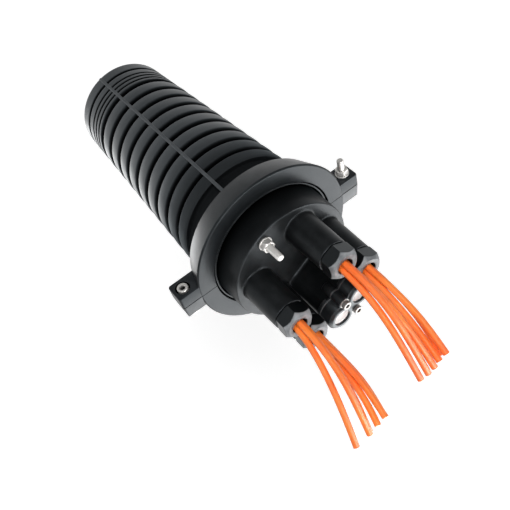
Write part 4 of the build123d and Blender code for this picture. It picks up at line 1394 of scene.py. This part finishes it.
@dataclass
class OvalCap:
    """Cap of the oval port with its two white blanking plugs, its seal and its two screws."""

    oval: OvalPort
    back: float = 101.5
    front: float = 118.5
    lobe: float = 16.5
    plug_radius: float = 11.6
    plug_depth: float = 11.0
    lip_radius: float = 10.3
    lip: float = 3.2
    chamfer: float = 3.2
    lug_face: float = 116.0
    seal_back: float = 100.0
    seal_swell: float = 0.25
    plug_root: float = 10.5

    def build(self, finishes: FinishSet) -> None:
        """Makes the cap, the plugs, the seal and the screws.

        Args:
            finishes: every finish.
        """
        outline = self.oval.outline(self.lobe, lugs=False, waist=self.oval.waist)
        lobes = [self.oval.place(side * self.oval.half_spacing, 0) for side in (-1, 1)]
        lugs = [self.oval.place(0, side * self.oval.lug_reach) for side in (1, -1)]
        steps = [(0.0, self.front - self.chamfer - 0.3), (0.12, self.front - self.chamfer + 0.05),
                 (self.chamfer - 0.35, self.front - 0.42), (self.chamfer, self.front - 0.06),
                 (self.chamfer + 0.12, self.front)]
        bevel = [(self.oval.outline(self.lobe - by, lugs=False, waist=self.oval.waist - by), height)
                 for by, height in steps]
        rings = [(inset(outline, 3), self.back), (inset(outline, 0.3), self.back),
                 (outline, self.back + 0.3), *bevel]
        holes = [circle(centre, self.lip_radius + 0.3) for centre in lobes]
        skins = [stacked(rings, Along.X), flat_face(bevel[-1][0], holes, self.front, Along.X),
                 flat_face(inset(outline, 3), [], self.back, Along.X, up=False)]
        lugged = self.oval.outline(self.lobe - 0.4, lugs=True, waist=self.oval.waist - 0.4)
        face, lip_floor = self.lug_face, self.front - self.lip
        lug_rings = [(inset(lugged, 3), self.back), (inset(lugged, 0.3), self.back),
                     (lugged, self.back + 0.3), (lugged, face - 0.6), (inset(lugged, 0.18), face - 0.18),
                     (inset(lugged, 0.6), face), (inset(lugged, 5), face)]
        skins.append(stacked(lug_rings, Along.X))
        for centre in lobes:
            lip, plug = self.lip_radius, self.plug_radius + 0.1
            well = np.array([(self.front, lip + 0.3), (self.front - 0.15, lip + 0.05),
                             (self.front - 0.5, lip), (lip_floor, lip), (lip_floor, plug),
                             (self.front - 6, plug), (self.front - 6, 0.0)])
            bore = turned(well, centre, steps=64, closed=False)
            bore.faces = bore.faces[:, ::-1].copy()
            skins.append(bore)
        piece("oval_cap_moulding", skins, finishes.cap, Body.CLOSURE, ("oval_cap",))
        swollen = (inset(lugged, -self.seal_swell), (self.seal_back + self.back) / 2)
        seal = [(lugged, self.seal_back), swollen, (lugged, self.back)]
        piece("oval_seal_rubber", [stacked(seal, Along.X)], finishes.rubber, Body.CLOSURE,
              ("oval_seal",))
        for number, centre in enumerate(lobes, start=1):
            cup = self.lip_radius - 0.15
            head = rounded([(self.back, 0.0), (self.back, self.plug_root),
                            (self.front - self.plug_depth, self.plug_root),
                            (self.front - self.plug_depth, self.plug_radius), (lip_floor, self.plug_radius),
                            (lip_floor, cup), (lip_floor - 0.8, cup - 0.4), (lip_floor - 0.8, 0.0)],
                           [0, 0.3, 0.3, 0.3, 0.5, 0.2, 0.4, 0], 5, closed=False)
            piece(f"oval_plug_{number}_cup", [turned(head, centre, steps=84, closed=False)], finishes.plug,
                  Body.CLOSURE, (f"oval_plug_{number}",))
        for number, centre in enumerate(lugs, start=1):
            screw = SocketScrew(centre, seat=face, top=face + 6.0, head_radius=5.0, socket_flats=5.0,
                                socket_depth=3.0, point=face - 25.0, radius=3.0, pitch=1.0, axis=Along.X)
            flange = rounded([(face + 0.02, 3.0), (face + 0.02, 6.0), (face + 1.2, 6.0), (face + 1.2, 3.0)],
                             0.3, 3)
            skins = [*screw.skins(), turned(flange, centre, steps=64)]
            piece(f"oval_screw_{number}_steel", skins, finishes.screw, f"oval_screw_{number}",
                  (f"oval_screw_{number}",))


@dataclass
class SocketScrew:
    """A cap screw: a round head with a hexagon socket on a threaded shank."""

    centre: tuple[float, float]
    seat: float
    top: float
    head_radius: float
    socket_flats: float
    socket_depth: float
    point: float
    radius: float
    pitch: float
    axis: Along
    thread_depth: float = 0.5
    steps: int = 96

    def skins(self) -> list[Skin]:
        """Head and shank. The socket's radius follows a hexagon and its floor has painted shade.

        Returns:
            The skins of both.
        """
        angles = np.linspace(0, FULL_TURN, self.steps, endpoint=False)
        socket = hexagon_radius(angles, self.socket_flats)
        direction = np.stack([np.cos(angles), np.sin(angles)], axis=1)

        def ring(radius: float | Array) -> Array:
            """A ring round the screw's own centre."""
            return np.array(self.centre) + direction * np.broadcast_to(radius, self.steps)[:, None]

        head = self.head_radius
        rings = [(ring(0.0), self.seat), (ring(head - 0.3), self.seat), (ring(head), self.seat + 0.3),
                 (ring(head), self.top - 0.9), (ring(head - 0.25), self.top - 0.3),
                 (ring(head - 0.8), self.top), (ring(socket + 0.35), self.top),
                 (ring(socket), self.top - 0.3), (ring(socket), self.top - self.socket_depth),
                 (ring(0.0), self.top - self.socket_depth - 0.5)]
        shank = threaded(self.point, self.seat + 0.2, self.radius, self.pitch, self.thread_depth,
                         self.centre, self.axis, point=0.6)
        body = stacked(rings, self.axis)
        # painted shade on the socket's floor
        body.wear_and_painted_light.reshape(len(rings), -1)[-2:] = -1.0
        return [body, shank]


@dataclass
class HexNut:
    """A steel nut with chamfered ends, milled to a hexagon, with its bore chamfered too."""

    centre: tuple[float, float]
    low: float
    high: float
    axis: Along
    flats: float = 13.0
    bore: float = 4.06
    turn: float = 0.0
    chamfer: float = 1.1
    bore_chamfer: float = 0.7

    def skins(self) -> list[Skin]:
        """The nut's skin.

        Returns:
            A list with that one skin.
        """
        corner = self.flats / 2 / np.cos(np.pi / 6) + 0.3
        face = self.flats / 2 * 0.97
        rise = np.linspace(0, 1, 6)
        low = [(self.low + self.chamfer * t, face + (corner - face) * t) for t in rise]
        high = [(self.high - self.chamfer * t, face + (corner - face) * t) for t in rise[::-1]]
        wide = self.bore + self.bore_chamfer
        bore = [(self.high, wide), (self.high - self.bore_chamfer, self.bore),
                (self.low + self.bore_chamfer, self.bore), (self.low, wide)]
        return [hexagon_blank(np.array(low + high + bore), self.flats, self.centre, self.axis, self.turn,
                              corner_round=0.08)]


@dataclass
class Hardware:
    """The steel fasteners: the cap screw and bolt of the clamp, and the earth stud."""

    clamp: ClampRing
    base: Base
    earth: tuple[float, float] = around(60.0, 114.5)
    radius: float = 4.0
    pitch: float = 1.25
    thread_depth: float = 0.42
    washer_radius: float = 8.0
    washer_height: float = 1.6
    nut_height: float = 6.5
    head_bore: float = 3.6

    def washer(self, centre: tuple[float, float], low: float, axis: Along) -> list[Skin]:
        """A plain washer with its edges broken.

        Args:
            centre: where its axis stands.
            low: where it begins along the axis.
            axis: the axis.

        Returns:
            A list with its one skin.
        """
        hole, high = self.clamp.hole_radius, low + self.washer_height
        profile = rounded([(low, hole), (low, self.washer_radius), (high, self.washer_radius), (high, hole)],
                          0.3, 3)
        return [turned(profile, centre, axis, steps=72)]

    def nut(self, centre: tuple[float, float], low: float, axis: Along, turn: float = 0.0) -> list[Skin]:
        """A plain nut."""
        return HexNut(centre, low, low + self.nut_height, axis, turn=turn).skins()

    def bolt(self, centre: tuple[float, float], head: float, seat: float, end: float,
             axis: Along) -> list[Skin]:
        """A bolt: hexagon head from head to seat, threaded shank to its end."""
        shank = threaded(head + 0.4, end, self.radius, self.pitch, self.thread_depth, centre, axis)
        return [*HexNut(centre, head, seat, axis, bore=self.head_bore).skins(), shank]

    def build(self, finishes: FinishSet) -> None:
        """Makes every fastener.

        Args:
            finishes: every finish.
        """
        left, right = [(self.clamp.bolt_x, side * self.clamp.bolt_reach) for side in (-1, 1)]
        top, bottom, face = self.clamp.ear_top, self.clamp.ear_bottom, self.base.face
        seat = top - self.clamp.recess_depth
        screw = SocketScrew(left, seat=seat, top=seat + 8.0, head_radius=6.3, socket_flats=6.0,
                            socket_depth=4.2, point=bottom - 8.5, radius=self.radius, pitch=self.pitch,
                            axis=Along.Z)
        stud = self.bolt(self.earth, face - 10.0, face - 5.0, face + 26.9, Along.X)
        fasteners = [
            ("clamp_screw", Body.CLAMP_SCREW, screw.skins()),
            ("clamp_screw_nut", Body.CLOSURE, self.nut(left, bottom - self.nut_height, Along.Z)),
            ("hanger_bolt", Body.CLOSURE, self.bolt(right, bottom - 5.3, bottom, top + 22.0, Along.Z)),
            ("hanger_washer", Body.CLOSURE, self.washer(right, top, Along.Z)),
            ("hanger_nut", Body.HANGER_NUT, self.nut(right, top + self.washer_height, Along.Z, 0.2)),
            ("earth_stud", Body.CLOSURE, stud),
            ("earth_washer", Body.CLOSURE, self.washer(self.earth, face, Along.X)),
            ("earth_nut", Body.EARTH_NUT, self.nut(self.earth, face + self.washer_height, Along.X, 0.35))]
        for name, body, skins in fasteners:
            piece(f"{name}_steel", skins, finishes.steel, body, (name,))


@dataclass
class Gland:
    """One gland nut: a hexagon with a cone at its front and an open mouth for the cables."""

    number: int
    centre: tuple[float, float]
    back: float = 103.0
    front: float = 120.8
    flats: float = 33.0
    cone: float = 5.6
    front_radius: float = 14.0
    mouth: float = 8.6
    flare: float = 1.2
    shoulder: float = 112.5
    bore: float = 15.06

    def build(self, finishes: FinishSet) -> None:
        """Makes the nut, with its turned cone rougher and painted paler as a reflection, and its flats clean.

        Args:
            finishes: every finish.
        """
        corner = self.flats / 2 / np.cos(np.pi / 6)
        bend = np.linspace(0, 1, 14)
        cone = [(self.front - self.cone * (1 - t), corner + 0.6 + (self.front_radius - corner - 0.6) * t)
                for t in bend]
        back = [(self.back + 1.5 * t, self.flats / 2 - 0.2 + (corner + 0.8 - self.flats / 2) * t)
                for t in np.linspace(0, 1, 6)]
        mouth = [(self.front, self.mouth + self.flare), (self.front - 0.4, self.mouth + 0.5 * self.flare),
                 (self.front - self.flare, self.mouth), (self.shoulder, self.mouth),
                 (self.shoulder, self.bore), (self.back, self.bore)]
        profile = np.array(back + cone + mouth)
        # painted reflection on the turned cone
        cone_reflection = np.concatenate([np.zeros(len(back)), np.ones(len(cone) + 1), np.zeros(len(mouth) - 1)])
        nut = hexagon_blank(profile, self.flats, self.centre, Along.X, steps=192, corner_round=0.22,
                            turned_reflection=cone_reflection)
        name = f"gland_nut_{self.number}"
        piece(f"{name}_moulding", [nut], finishes.nut, name, (name,))


@dataclass
class Cables:
    """Three cables from each gland, on the route's own points, hanging in a widening fan."""

    ports: list[tuple[float, float]]
    radius: float = 3.5
    start: float = 94.0
    bend: float = 121.0
    spacing: float = 0.1
    routes: dict[str, list[tuple[float, float, float]]] = field(default_factory=lambda: {
        "1_1": [(150, -53.5, -1), (179, -60, -14.5), (206, -67.5, -35), (228.5, -75, -58)],
        "1_2": [(150, -46.5, 8), (179, -48.5, -3.5), (206, -52.5, -28), (228.5, -57.5, -55)],
        "1_3": [(148, -43.5, -1), (176, -45.5, -15), (202, -48.5, -39), (223.5, -54, -62)],
        "2_1": [(150, 14.5, 36), (179, 13.5, 22), (206, 12, -3), (228.5, 10.5, -30)],
        "2_2": [(150, 19, 44.5), (179, 19.8, 30.5), (206, 20.5, 1), (228.5, 20.5, -31)],
        "2_3": [(150, 22.8, 36.5), (179, 24.8, 23), (206, 28.2, -3), (228.5, 28.8, -29)],
        "3_1": [(150, 41, 5), (179, 39.5, -1.5), (206, 37.5, -12.5), (228.5, 35.5, -24.5)],
        "3_2": [(150, 45.8, 12.5), (179, 46, 6.5), (206, 45.5, -5), (228.5, 44.5, -21)],
        "3_3": [(150, 49, 5), (178, 48.5, -2), (203, 46.5, -14), (223.2, 43.5, -28.5)],
        "4_1": [(150, -35.5, -37), (179, -36.5, -39), (206, -40, -43.5), (228.5, -46.5, -51.5)],
        "4_2": [(150, -31, -31), (179, -31, -33.5), (206, -33, -39.5), (228.5, -36.5, -47.5)],
        "4_3": [(150, -27.8, -37.5), (178, -27.5, -41), (203, -30, -47.5), (223.2, -34.4, -54.5)]})

    def build(self, finishes: FinishSet) -> None:
        """Args:
            finishes: every finish.
        """
        bundle = (self.radius + self.spacing) / float(np.cos(np.radians(30)))
        offsets = [around(bundle, angle) for angle in (210, 90, 330)]
        for name, free in self.routes.items():
            port, place = (int(digit) for digit in name.split("_"))
            y = self.ports[port - 1][0] + offsets[place - 1][0]
            z = self.ports[port - 1][1] + offsets[place - 1][1]
            route = [(self.start, y, z), (self.bend, y, z), *free]
            curve = bpy.data.curves.new(f"cable_{name}_line", "CURVE")
            curve.dimensions = "3D"
            spline = curve.splines.new("NURBS")
            spline.points.add(len(route) - 1)
            for point, here in zip(spline.points, route):
                point.co = (*(value * MILLIMETRE for value in here), 1.0)
            spline.order_u = 3
            spline.use_endpoint_u = True
            spline.resolution_u = 16
            curve.bevel_depth = self.radius * MILLIMETRE
            curve.bevel_resolution = 7
            curve.use_fill_caps = True
            made = bpy.data.objects.new(f"cable_{name}_jacket", curve)
            bpy.context.scene.collection.objects.link(made)
            curve.materials.append(finishes.jacket)
            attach(made, Body.CLOSURE.value)
            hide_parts(f"cable_{name}")
            length = line_length(made)
            tuple(value * MILLIMETRE for value in route[0])
            log.info("cable %s: %.1f mm", name, length / MILLIMETRE)


def line_length(made: bpy.types.Object) -> float:
    """Length of a curve's own line, in metres: the sum of the runs between its drawn points.

    Args:
        made: the curve.

    Returns:
        The length.
    """
    plain = made.data.copy()
    plain.bevel_depth = 0.0
    holder = bpy.data.objects.new("line", plain)
    mesh = bpy.data.meshes.new_from_object(holder)
    points = np.empty(len(mesh.vertices) * 3)
    mesh.vertices.foreach_get("co", points)
    points = points.reshape(-1, 3)
    bpy.data.meshes.remove(mesh)
    bpy.data.objects.remove(holder)
    bpy.data.curves.remove(plain)
    return float(np.linalg.norm(np.diff(points, axis=0), axis=1).sum())


class Lights(Enum):
    """Which surfaces a lamp lights, as its matt and shiny switches."""

    ALL = (True, True)
    MATT = (True, False)
    SHINY = (False, True)


@dataclass(frozen=True)
class Lamp:
    """One soft rectangular lamp, aimed at a place. The camera doesn't see it."""

    name: str
    place: tuple[float, float, float]
    target: tuple[float, float, float]
    size: tuple[float, float]
    power: float
    lights: Lights = Lights.ALL

    def hang(self) -> None:
        """Puts the lamp in the scene."""
        data = bpy.data.lights.new(self.name, "AREA")
        data.shape, data.energy = "RECTANGLE", self.power
        data.size, data.size_y = self.size
        made = bpy.data.objects.new(self.name, data)
        bpy.context.scene.collection.objects.link(made)
        aim = (Vector(self.target) - Vector(self.place)).to_track_quat("-Z", "Y")
        made.matrix_world = Matrix.Translation(self.place) @ aim.to_matrix().to_4x4()
        made.visible_camera = False
        made.visible_diffuse, made.visible_glossy = self.lights.value


LAMPS = (
    Lamp("low front lamp", (0.42, 0.10, -0.40), (0.02, 0.0, 0.0), (1.0, 1.0), 13.0, Lights.SHINY),
    Lamp("low front fill", (1.20, 0.15, -0.36), (0.1, 0.0, -0.05), (0.8, 0.5), 3.6, Lights.MATT),
    Lamp("camera side fill", (0.75, -0.25, 0.95), (0.1, 0.0, 0.0), (0.6, 0.6), 12.0, Lights.MATT),
    Lamp("front lamp", (1.25, -0.10, 0.15), (0.05, 0.0, 0.0), (0.5, 0.5), 12.0, Lights.SHINY),
    Lamp("front right lamp", (1.00, 0.45, -0.20), (0.05, 0.0, 0.0), (0.5, 0.4), 8.0, Lights.SHINY),
    Lamp("back left lamp", (-1.25, -0.75, 0.00), (-0.1, 0.0, 0.0), (0.5, 0.5), 0.62),
    Lamp("high back left lamp", (-1.20, -0.35, 0.62), (-0.1, 0.0, 0.0), (0.5, 0.5), 0.36),
    Lamp("back right lamp", (-0.95, 0.55, 0.50), (-0.1, 0.0, 0.0), (0.6, 0.5), 0.15),
    Lamp("low back left lamp", (-1.10, -0.42, -0.45), (-0.1, 0.0, 0.0), (0.5, 0.5), 1.2),
    Lamp("low back lamp", (-0.66, -0.26, -0.34), (0.0, -0.05, 0.0), (0.3, 0.3), 0.62, Lights.SHINY),
    Lamp("right lamp", (0.25, 1.25, 0.25), (0.0, 0.0, 0.0), (0.6, 0.4), 0.8),
    Lamp("left lamp", (0.0, -1.20, 0.50), (0.0, 0.0, 0.0), (0.5, 0.5), 2.5),
    Lamp("top lamp", (0.15, -0.05, 1.30), (0.05, 0.0, 0.0), (0.4, 0.4), 3.0))


@dataclass
class Studio:
    """Pale floor, soft lamps, surroundings and the camera at the photograph's angle, in metres."""

    place: tuple[float, float, float] = (0.4741, -0.2083, 0.6093)
    right: tuple[float, float, float] = (0.58119, 0.78786, -0.20369)
    down: tuple[float, float, float] = (0.56255, -0.56985, -0.59900)
    view: tuple[float, float, float] = (-0.58800, 0.23355, -0.77441)
    lens: float = 50.58
    sensor: float = 36.0
    clip: tuple[float, float] = (0.01, 30.0)
    floor_level: float = -0.72
    floor_half: float = 6.0
    floor_tones: tuple[float, float] = (0.86, 0.89)

    def camera(self) -> None:
        """Sets the camera from its place and its three directions."""
        data = bpy.data.cameras.new("camera")
        data.lens, data.sensor_width, data.sensor_fit = self.lens, self.sensor, "HORIZONTAL"
        data.clip_start, data.clip_end = self.clip
        made = bpy.data.objects.new("camera", data)
        bpy.context.scene.collection.objects.link(made)
        right, up, back = Vector(self.right), -Vector(self.down), -Vector(self.view)
        turn = Matrix((right, up, back)).transposed().to_4x4()
        made.matrix_world = Matrix.Translation(self.place) @ turn
        bpy.context.scene.camera = made

    def floor(self) -> None:
        """A wide pale floor: white where the camera, a mirror or glass sees it, with soft shadows."""
        half, level = self.floor_half, self.floor_level
        mesh = bpy.data.meshes.new("floor")
        corners = [(-half, -half, level), (half, -half, level), (half, half, level), (-half, half, level)]
        mesh.from_pydata(corners, [], [(0, 1, 2, 3)])
        made = bpy.data.objects.new("floor", mesh)
        bpy.context.scene.collection.objects.link(made)
        material = bpy.data.materials.new("pale floor")
        nodes = cleared(material)
        place = nodes.place()
        away = nodes.add("ShaderNodeVectorMath", {0: place}, operation="LENGTH").outputs["Value"]
        strength = nodes.maths("MULTIPLY", nodes.seen(), nodes.spread(away, 0.8, 2.0, 0.62, 1.0))
        low, high = [(tone, tone, tone, 1) for tone in self.floor_tones]
        colour = nodes.blend(nodes.spread(nodes.noise(place, 3.0, 3.0), 0.3, 0.7), low, high)
        diffuse = nodes.add("ShaderNodeBsdfDiffuse", {"Color": colour})
        glow = nodes.add("ShaderNodeEmission", {"Color": (1, 1, 1, 1), "Strength": strength})
        both = nodes.add("ShaderNodeAddShader", {0: diffuse.outputs[0], 1: glow.outputs[0]})
        nodes.add("ShaderNodeOutputMaterial", {0: both.outputs[0]})
        mesh.materials.append(material)

    def surroundings(self) -> None:
        """The world: white near the horizon and grey overhead where it is seen, and a dim light elsewhere."""
        world = bpy.data.worlds.new("studio")
        bpy.context.scene.world = world
        nodes = cleared(world)
        direction = nodes.add("ShaderNodeTexCoord").outputs["Generated"]
        height = nodes.add("ShaderNodeSeparateXYZ", {0: direction}).outputs[2]
        shown = nodes.maths("MULTIPLY", nodes.seen(), nodes.spread(height, 0.20, 0.65, 1.0, 0.28))
        level = nodes.maths("MAXIMUM", nodes.spread(height, 0.0, 0.35, 0.0, 0.085), shown)
        glow = nodes.add("ShaderNodeBackground", {"Color": (1, 1, 1, 1), "Strength": level})
        nodes.add("ShaderNodeOutputWorld", {0: glow.outputs[0]})

    def build(self) -> None:
        """Sets up the whole studio."""
        self.floor()
        self.surroundings()
        for lamp in LAMPS:
            lamp.hang()
        bpy.context.scene.view_settings.view_transform = "Standard"


def main() -> None:
    """Loads the frame, then builds and dresses the closure in order."""
    logging.basicConfig(level=logging.INFO, format="%(name)s: %(message)s")
    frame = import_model()
    studio = Studio()
    studio.camera()
    finishes = FinishSet()
    ports = [around(PORT_REACH, angle) for angle in PORT_ANGLES]
    Cables(ports).build(finishes)
    finishes.dress_frame(frame)
    Dome().build(finishes)
    clamp, oval = ClampRing(), OvalPort()
    clamp.build(finishes)
    base = Base(oval, ports)
    base.build(finishes)
    OvalCap(oval).build(finishes)
    for number, centre in enumerate(ports, start=1):
        Gland(number, centre).build(finishes)
    Hardware(clamp, base).build(finishes)
    studio.build()
    bpy.context.view_layer.update()


if __name__ == "__main__":
    main()
